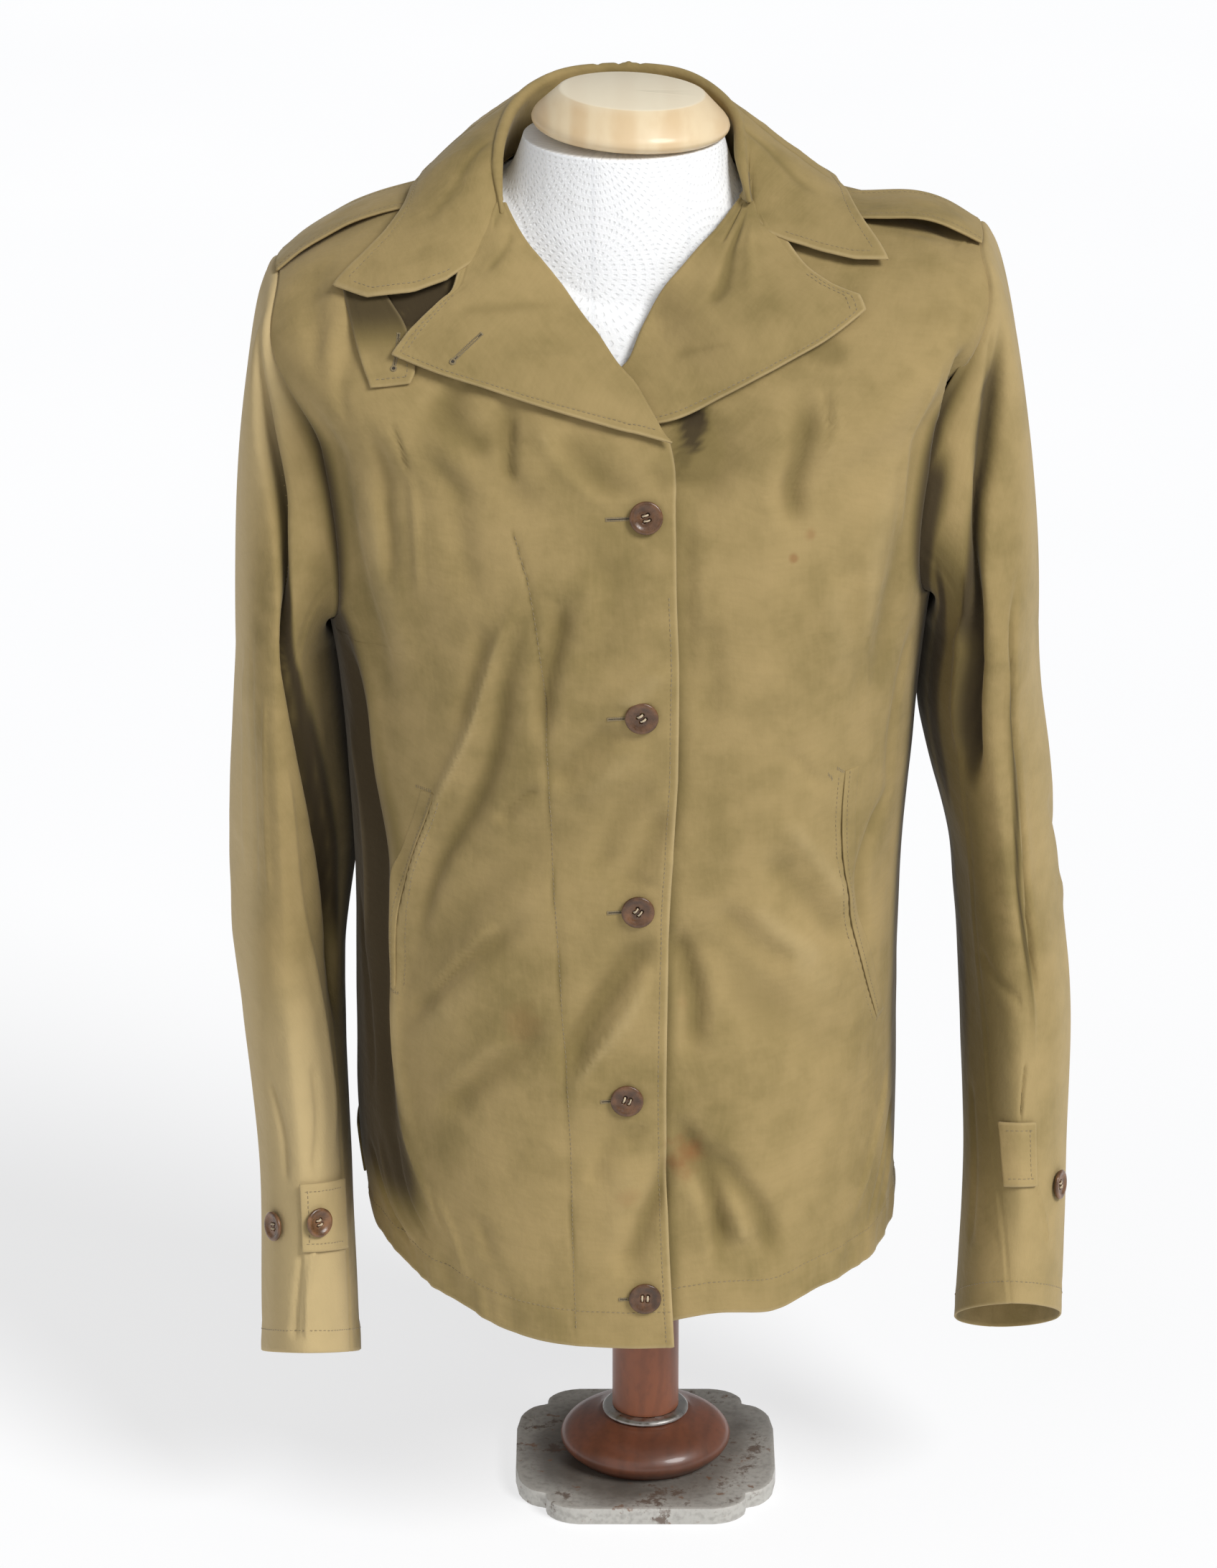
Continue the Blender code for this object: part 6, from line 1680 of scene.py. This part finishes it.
def build_cuff_tab(side, label, look):
    turns, shares = CUFF_TABS[side]
    turn, share = np.linspace(*turns, 34)[None, :], np.linspace(*shares, 26)[:, None]
    grid = Grid(sleeve(side, turn, share, CUFF_TAB_LIFT + TAB_WALL), side)
    edges = ("low", "high", "first")
    near = grid.near(*edges)
    grid = grid.pressed(trough(near, 4.0, 0.25, 0.8) + 0.3 * noise(grid.first / 10, grid.low / 10, 77))
    name = f"cuff_tab_{label}"
    cloth_piece(name, grid, look, (0.05, 0.04), rests_on=f"sleeve_{label}_cloth", held="laid",
                thickness=TAB_CLOTH, wear=np.maximum(0.5 * worn_edge(near), CUFF_TAB_WEAR[side]))
    topstitch(name, grid, edges, 4.0, 0.08, 0.92)


# ---------------------------------------------------------------- collar and lapels


def collar_creases(grid):
    rows, columns = grid.points.shape[:2]
    x = np.linspace(0.0, 1.0, columns)[None, :] * COLLAR_MM[0]
    y = (np.arange(rows)[:, None] - STAND_ROWS) / (rows - STAND_ROWS) * COLLAR_MM[1]
    return creased(x, y, COLLAR_CREASES, lambda line: line * COLLAR_MM)


def collar_grid():
    """The collar in rows from its seam up the stand, over the roll and down the fall."""
    along = np.linspace(0.0, 1.0, 190)
    stations = np.linspace(COLLAR["station"][0], COLLAR["station"][-1], len(along))
    here = read(COLLAR, -COLLAR["station"], -stations)
    seam = body(here["seam"], here["seam_level"], -0.5 * COLLAR_WALL) + UP * COLLAR_RISE
    roll = np.stack([here["roll_x"], here["roll_y"], here["roll_z"]], -1)
    edge = body(here["edge_angle"], here["edge_level"], here["edge_lift"])
    # the roll closes and comes down where the lapels begin
    wide = (0.15 + 0.85 * span(along, 0.0, 0.07, 0.93, 1.0))[:, None]
    roll = roll - UP * 3.0 * (1 - wide)
    outward = edge - roll
    outward[:, 2] = 0.0
    outward = unit(outward) * ROLL_RADIUS * wide
    drop = UP * ROLL_RADIUS * wide
    inside, outside = roll - outward - drop, roll + outward - drop
    lines = [seam + (inside - seam) * share for share in np.linspace(0.0, 0.94, STAND_ROWS)]
    lines += [roll - drop * (1 - np.sin(t)) - outward * np.cos(t)
              for t in np.linspace(0.15, np.pi - 0.15, ROLL_ROWS)]
    weights = (1 - ease(0.0, COLLAR_END_SHARE, along), ease(1 - COLLAR_END_SHARE, 1.0, along))
    for share in np.concatenate([np.linspace(0.03, 0.90, 34), np.linspace(0.915, 1.0, 9)]):
        line = outside + (edge - outside) * share
        line = line + unit(outward + drop) * here["bulge"][:, None] * np.sin(np.pi * share)
        for end, weight, column in zip((COLLAR_END_RIGHT, COLLAR_END_LEFT), weights, (0, -1)):
            angle, level = (np.interp(share, end["share"], end[name]) for name in ("angle", "level"))
            target = body(angle, level, COLLAR_END_LIFT - 0.9 * (1 - ease(0.35, 0.55, share)))
            line = line + (target - line[column]) * weight[:, None]
        lines.append(line)
    grid = Grid(np.array(lines), 1)
    grid = Grid(grid.points + grid.normals * (0.5 * COLLAR_WALL), 1)
    return grid.pressed(collar_creases(grid) + 0.35 * noise(grid.first / 22, grid.low / 18, 81))


def build_collar(look):
    grid = collar_grid()
    rows, fall = grid.points.shape[0], STAND_ROWS + ROLL_ROWS
    ends = np.where(np.arange(rows)[:, None] >= fall, grid.near("first", "last"), 99.0)
    near = np.minimum(grid.high, ends)
    grid = grid.pressed(rolled_edge(near, 0.2, 5.0) + trough(near, COLLAR_STITCH, 0.3, 0.8))
    # The collar's folds get unfaded dye and painted shade.
    cloth_piece("collar", grid, look, (0.56, 0.13), thickness=1.5, wear=worn_edge(near),
                hollow=hollows(collar_creases(grid), 3.0))
    topstitch("collar", grid, ["high"], COLLAR_STITCH, 0.01, 0.99, 400)
    topstitch("collar", grid, ("first", "last"), COLLAR_STITCH, (fall + 4) / (rows - 1) + 0.25, 0.93, 60)


def cornered(values, corners, at):
    """A curve through the values that is smooth between its corners."""
    spread = np.linspace(0.0, 1.0, len(values))
    result = np.zeros(len(at))
    stops = [0, *corners, len(values) - 1]
    for first, last in zip(stops[:-1], stops[1:]):
        inside = (at >= spread[first] - 1e-9) & (at <= spread[last] + 1e-9)
        if last - first == 1:
            result[inside] = np.interp(at[inside], spread[[first, last]], values[[first, last]])
        else:
            result[inside] = curve(spread[first:last + 1], values[first:last + 1], at[inside])
    return result


def lapel_outline(side, along):
    """A lapel's roll and its outer edge, which has corners at the notch, along its length."""
    outline = LAPELS[side]
    here = read(outline, np.linspace(0.0, 1.0, len(outline["angle"])), along[:, None])
    for name in ("angle", "level"):
        here[name] = cornered(outline[name], LAPEL_CORNERS, along)[:, None]
    # beyond the notch the edge runs on under the collar's end
    tucked = ease(0.80, 0.92, along)[:, None]
    for name, shift in (("angle", side * 2.6), ("level", -0.0022), ("lift", -0.2)):
        here[name] = here[name] + shift * tucked
    return here


def lapel_grid(side):
    along = np.linspace(0.0, 1.0, 127)
    here = lapel_outline(side, along)
    share = np.concatenate([np.linspace(0.0, 0.86, 50), np.linspace(0.875, 1.0, 10)])[None, :]
    angles = here["roll_angle"] + (here["angle"] - here["roll_angle"]) * share
    levels = here["roll_level"] + (here["level"] - here["roll_level"]) * share
    bow = LAPEL_BOW * np.sin(np.pi * np.clip(1.1 * share, 0, 1)) * ease(0.0, 0.3, along[:, None])
    under = REST_GAP + (here["lift"] - REST_GAP) * ease(0.0, 0.7, share) + bow
    if side > 0:
        under = under + under_front(angles, levels)
    outer = body(angles, levels, under + COLLAR_WALL)
    # the roll, where the cloth turns back and becomes the front
    low = body(here["roll_angle"], here["roll_level"], (under[:, :1] - REST_GAP) - WALL)
    top = outer[:, :1]
    middle, reach = (low + top) / 2, (top - low) / 2
    inward = unit(top - outer[:, 6:7])
    along_reach = (inward * reach).sum(-1, keepdims=True) / (reach * reach).sum(-1, keepdims=True)
    inward = unit(inward - reach * along_reach)
    size = np.linalg.norm(reach, axis=-1, keepdims=True)
    turns = np.radians(np.linspace(176.0, 12.0, 12))
    bend = [middle + reach * np.cos(t) + inward * size * 0.9 * np.sin(t) for t in turns]
    share = np.concatenate([np.zeros(len(turns)), share[0]])[None, :]
    return Grid(np.concatenate([*bend, outer], axis=1), side), along[:, None], share


def lapel_creases(side, along, share):
    """Soft folds of a lapel, from its own (along, share) places scaled to mm."""
    x, y = along * LAPEL_MM[0], share * LAPEL_MM[1]
    relief = creased(x, y, LAPEL_CREASES[side], lambda line: line * LAPEL_MM)
    return relief + 0.35 * noise(x / 30 + 5, y / 30 + 5, 51 + (side > 0)) * ease(0.0, 0.2, share)


def build_lapel(side, label, look):
    name = f"lapel_{label}"
    grid, along, share = lapel_grid(side)
    folds = lapel_creases(side, along, share)
    pucker = 0.35 * noise(along * 60, grid.last / 8, 61) * bell(grid.last - 4.5, 4.0) * ease(0.5, 0.6, along)
    sewing = trough(grid.last, LAPEL_STITCH, 0.3, 0.8) + rolled_edge(grid.last, 0.2, 5.0)
    grid = grid.pressed(folds + pucker + sewing)
    # The lapel's folds get unfaded dye and painted shade.
    cloth_piece(name, grid, look, (0.20, 0.13), thickness=TRIM_CLOTH, hollow=hollows(folds, 3.0),
                wear=worn_edge(np.minimum(grid.last, grid.high + 2)))
    topstitch(name, grid, ["last"], LAPEL_STITCH, 0.03, 0.80, 300)
    topstitch(name, grid, ["last"], 7.6, 0.565, 0.80, 120)
    if side < 0:
        buttonhole(name, grid, (59.0, 59.0), (70.0, 43.0), eyelet=True)


def build_jacket():
    stains = [(body(angle, level), radius, strength) for angle, level, radius, strength in STAINS]
    main = cloth_look("poplin", 0.58, stains)
    trim = cloth_look("poplin_trim", 0.45)
    # The sleeves' strong pale of wear holds painted light on their outer sides too.
    arm = cloth_look("poplin_sleeves", 0.70, rubbed=0.80)
    for side, label in SIDES.items():
        build_front(side, label, main)
    build_back(main)
    for side, label in SIDES.items():
        build_sleeve(side, label, arm)
    build_collar(trim)
    for build, look in ((build_lapel, trim), (build_strap, trim)):
        for side, label in SIDES.items():
            build(side, label, look)
    build_throat_tab(trim)
    for build, look in ((build_side_tab, trim), (build_cuff_tab, arm), (build_welt, main)):
        for side, label in SIDES.items():
            build(side, label, look)


# ---------------------------------------------------------------- buttons


def turned_points(radius, height, steps):
    """Rings of points round an axis, one for each radius and height."""
    turn = np.arange(steps) * 2 * np.pi / steps
    height = np.broadcast_to(height[:, None], (len(radius), steps))
    return np.stack([radius[:, None] * np.cos(turn), radius[:, None] * np.sin(turn), height], -1)


def button(node, radius, point, normal, look, thread, spin):
    """A four-hole button: raised rim, sunk middle, thread through its holes."""
    inner = np.linspace(0.02, 0.46, 16)
    sunk = np.interp(inner, BUTTON_PROFILE["radius"][:5], BUTTON_PROFILE["height"][:5])
    rims = np.concatenate([inner, BUTTON_PROFILE["radius"][4:]]) * radius
    points = turned_points(rims, np.concatenate([sunk, BUTTON_PROFILE["height"][4:]]), 56)
    hole = HOLE_REACH * radius
    for x in (-hole, hole):
        for y in (-hole, hole):
            dent = 1 - ease(0.75, 1.15, np.hypot(points[..., 0] - x, points[..., 1] - y))
            points[:len(inner), :, 2] -= 1.3 * dent[:len(inner)]
    thing = make_mesh(f"{node}_turned", points.reshape(-1, 3), ring_faces(*points.shape[:2], outwards=True))
    facing_out = Vector(normal).to_track_quat("Z", "Y").to_matrix().to_4x4()
    matrix = Matrix.Translation(Vector(point) * MM) @ (facing_out @ Matrix.Rotation(spin, 4, "Z"))
    thing.data.transform(matrix)
    place(thing, look, [node])
    button_thread(f"{node}_turned_thread", hole, matrix, int(abs(point[2]) * 10), thread)


def button_thread(name, hole, matrix, seed, look):
    """Three strands through each pair of a button's holes."""
    strands = bpy.data.curves.new(name, "CURVE")
    strands.dimensions = "3D"
    strands.bevel_depth = 0.32 * MM
    strands.bevel_resolution = 2
    rng = np.random.default_rng(seed)
    for y in (-hole, hole):
        for strand in range(3):
            spline = strands.splines.new("POLY")
            shift = rng.uniform(-0.35, 0.35, 2)
            spline.points.add(len(THREAD_KNOTS) - 1)
            for knot, (u, lift) in zip(spline.points, THREAD_KNOTS):
                at = Vector((u * hole, y + shift[0 if u < 0 else 1], 1.35 + 0.75 * lift + 0.12 * strand))
                knot.co = (*(matrix @ (at * MM)), 1.0)
    place(link(bpy.data.objects.new(name, strands)), look, ())


def build_buttons():
    brown = button_look("brown_button", (0.105, 0.048, 0.020))
    pale_brown = button_look("cuff_button", (0.150, 0.072, 0.032))
    thread = thread_look("button_thread", (0.62, 0.50, 0.33))
    for number, (angle, level) in enumerate(zip(*FRONT_BUTTONS.values()), 1):
        button(f"front_button_{number}", BUTTON_RADIUS, body(angle, level, 0.35), body_normal(angle, level),
               brown, thread, 0.3 * number)
    for side, number, turn, share, lift in zip(*CUFF_BUTTONS.values()):
        around = sleeve(side, turn + 3, share) - sleeve(side, turn - 3, share)
        along = sleeve(side, turn, share + 0.02) - sleeve(side, turn, share - 0.02)
        normal = unit(np.cross(around, along)) * side
        point = sleeve(side, turn, share) + normal * (lift + 0.2)
        node = f"cuff_button_{SIDES[side]}_{int(number)}"
        button(node, CUFF_BUTTON_RADIUS, point, normal, pale_brown, thread, 0.2)


# ---------------------------------------------------------------- the dress form and its stand


def shifted(x, y, z):
    """The matrix that moves by so many mm."""
    return Matrix.Translation(Vector((x, y, z)) * MM)


def turned_piece(node, profile, look, matrix, steps=96):
    radius = np.where(profile["radius"] == 0, 0.02, profile["radius"])
    points = turned_points(radius, profile["height"], steps)
    thing = make_mesh(f"{node}_turned", points.reshape(-1, 3), ring_faces(len(radius), steps, outwards=True))
    thing.data.set_sharp_from_angle(angle=0.6)
    thing.data.transform(matrix)
    place(thing, look, [node])


def form_rings(angles):
    """Rings of the form from the middle of its bottom, up its body and neck, to the middle of its top."""
    rings = []
    for level in np.concatenate([[0.22], np.linspace(0.24, 1.0, 90)]):
        inset = form_inset(angles, level)[:, None]
        rings.append(smooth_body(angles, level) - body_normal(angles, level) * inset)
    rings[0][:, 2] = FORM_BOTTOM
    top_x = NECK_CENTRE[0] + NECK_HALF[0] * np.sin(np.radians(angles))
    top_y = NECK_CENTRE[1] - NECK_HALF[1] * np.cos(np.radians(angles))
    top = np.stack([top_x, top_y, np.full(angles.shape, NECK_TOP)], -1)
    last = rings[-1]
    for share in np.linspace(0.02, 1.0, 50):
        ring = last + (top - last) * share
        ring[:, :2] = last[:, :2] + (top - last)[:, :2] * np.sqrt(share)
        rings.append(ring)
    for share in (0.985, 0.93, 0.6, 0.02):
        ring = top.copy()
        ring[:, :2] = np.array(NECK_CENTRE) + (top[:, :2] - np.array(NECK_CENTRE)) * share
        ring[:, 2] += 0.15
        rings.append(ring)
    return np.array([rings[0] * (0.02, 0.02, 1.0)] + rings)


def build_form():
    angles = np.arange(-180.0, 180.0, 2.5)
    points = form_rings(angles)
    rows, columns = points.shape[:2]
    around = np.broadcast_to(angles * FORM_ANGLE_MM, (rows, columns)).ravel() + 180 * FORM_ANGLE_MM
    uv = np.stack([around, points[..., 2].ravel()], -1)
    faces = ring_faces(rows, columns)
    thing = make_mesh("form_towelling", points.reshape(-1, 3), faces, uv, girth=360 * FORM_ANGLE_MM)
    place(thing, towel_look(), ["dress_form"])


def build_stand():
    """The cap, and from the plate upwards the flange, the ring and the pole."""
    # The cap's top is painted paler, as painted light.
    maple = wood_look("pale_wood", (0.80, 0.66, 0.44), (0.62, 0.41, 0.20),
                      0.2, 14.0, (1.0, 0.3, 0.6), 0.45, 0.75)
    red = wood_look("red_wood", (0.27, 0.080, 0.028), (0.110, 0.036, 0.016),
                    0.22, 30.0, (1.0, 1.0, 0.6), 0.25)
    brown = wood_look("brown_wood", (0.180, 0.056, 0.025), (0.050, 0.022, 0.014),
                      0.28, 30.0, (1.0, 1.0, 1.0), 0.18)
    lean = Matrix.Rotation(np.radians(CAP_LEAN), 4, "Y")
    turned_piece("neck_cap", CAP_PROFILE, maple, shifted(*CAP_CENTRE, NECK_TOP + 3.0) @ lean)
    base = PLATE_THICK + SEAM_GAP
    for node, profile, look in (("flange", FLANGE_PROFILE, brown), ("pole_ring", RING_PROFILE, steel_look())):
        turned_piece(node, profile, look, shifted(0, 0, base))
        base += profile["height"][0] + SEAM_GAP
    length = FORM_BOTTOM - SEAM_GAP - base
    pole = table("radius height", (0, length), (POLE_RADIUS - 0.4, length), (POLE_RADIUS, length - 0.4),
                 (POLE_RADIUS, length * 0.5), (POLE_RADIUS, 0), (0, 0))
    turned_piece("pole", pole, red, shifted(0, 0, base), 72)


def plate_outline():
    """Points close together round the plate, and the direction inwards at each."""
    corner = np.stack([PLATE_CORNER["x"], PLATE_CORNER["y"]], -1)
    turns = ((1, -1), (1, 1), (-1, 1), (-1, -1))
    coarse = np.concatenate([corner[::-x * y] * (x, y) for x, y in turns])
    fine = []
    for a, b in zip(coarse, np.roll(coarse, -1, axis=0)):
        pieces = max(1, int(np.hypot(*(b - a)) / 4.0))
        fine += [a + (b - a) * k / pieces for k in range(pieces)]
    outline = np.array(fine)
    tangent = np.roll(outline, -1, axis=0) - np.roll(outline, 1, axis=0)
    return outline, unit(np.stack([-tangent[:, 1], tangent[:, 0]], -1))


def build_plate():
    outline, inward = plate_outline()
    rings = [np.column_stack([outline + inward * inset, np.full(len(outline), height)])
             for inset, height in zip(PLATE_PROFILE["inset"], PLATE_PROFILE["height"])]
    rings = [rings[0] * (0.01, 0.01, 1.0)] + rings
    rings += [rings[-1] * (share, share, 1.0) for share in (0.8, 0.6, 0.4, 0.2, 0.01)]
    worn = PLATE_PROFILE["wear"]
    wear = np.repeat([worn[0], *worn, 0.0, 0.0, 0.0, 0.0, 0.0], len(outline))
    faces = ring_faces(len(rings), len(outline))
    thing = make_mesh("base_plate_cast", np.concatenate(rings), faces, wear=wear)
    thing.data.set_sharp_from_angle(angle=0.7)
    place(thing, plate_look(), ["base_plate"])


# ---------------------------------------------------------------- studio


def add_camera():
    eye = bpy.data.cameras.new("camera")
    eye.sensor_fit = "VERTICAL"
    eye.sensor_height = SENSOR_MM
    eye.lens = FOCAL_PIXELS / PHOTO_HEIGHT * SENSOR_MM
    eye.clip_end = 60.0
    camera = link(bpy.data.objects.new("camera", eye))
    camera.location = CAMERA_AT
    camera.rotation_euler = (np.radians(90.0 - CAMERA_DOWN), 0.0, 0.0)
    bpy.context.scene.camera = camera


def add_floor():
    ground = bpy.data.meshes.new("floor")
    ground.from_pydata([(-9, -9, 0), (9, -9, 0), (9, 9, 0), (-9, 9, 0)], [], [(0, 1, 2, 3)])
    floor = link(bpy.data.objects.new("floor", ground))
    ground.materials.append(floor_look())


def add_light():
    """A pale sky, and two wide soft lights far off, so that the floor stays even."""
    world = bpy.data.worlds.new("studio")
    world.use_nodes = True
    sky = world.node_tree.nodes["Background"].inputs
    sky["Color"].default_value = (0.985, 0.99, 1.0, 1.0)
    sky["Strength"].default_value = 0.25
    bpy.context.scene.world = world
    for name, towards, wide, power in LIGHTS:
        lamp = bpy.data.lights.new(name, "SUN")
        lamp.angle = np.radians(wide)
        lamp.energy = power
        thing = link(bpy.data.objects.new(name, lamp))
        thing.location = Vector(towards) * 3.0
        thing.rotation_euler = Vector(towards).to_track_quat("Z", "Y").to_euler()
    bpy.context.scene.view_settings.view_transform = "Standard"


add_camera()
add_floor()
add_light()
build_jacket()
build_buttons()
build_form()
build_stand()
build_plate()
finish_seams()
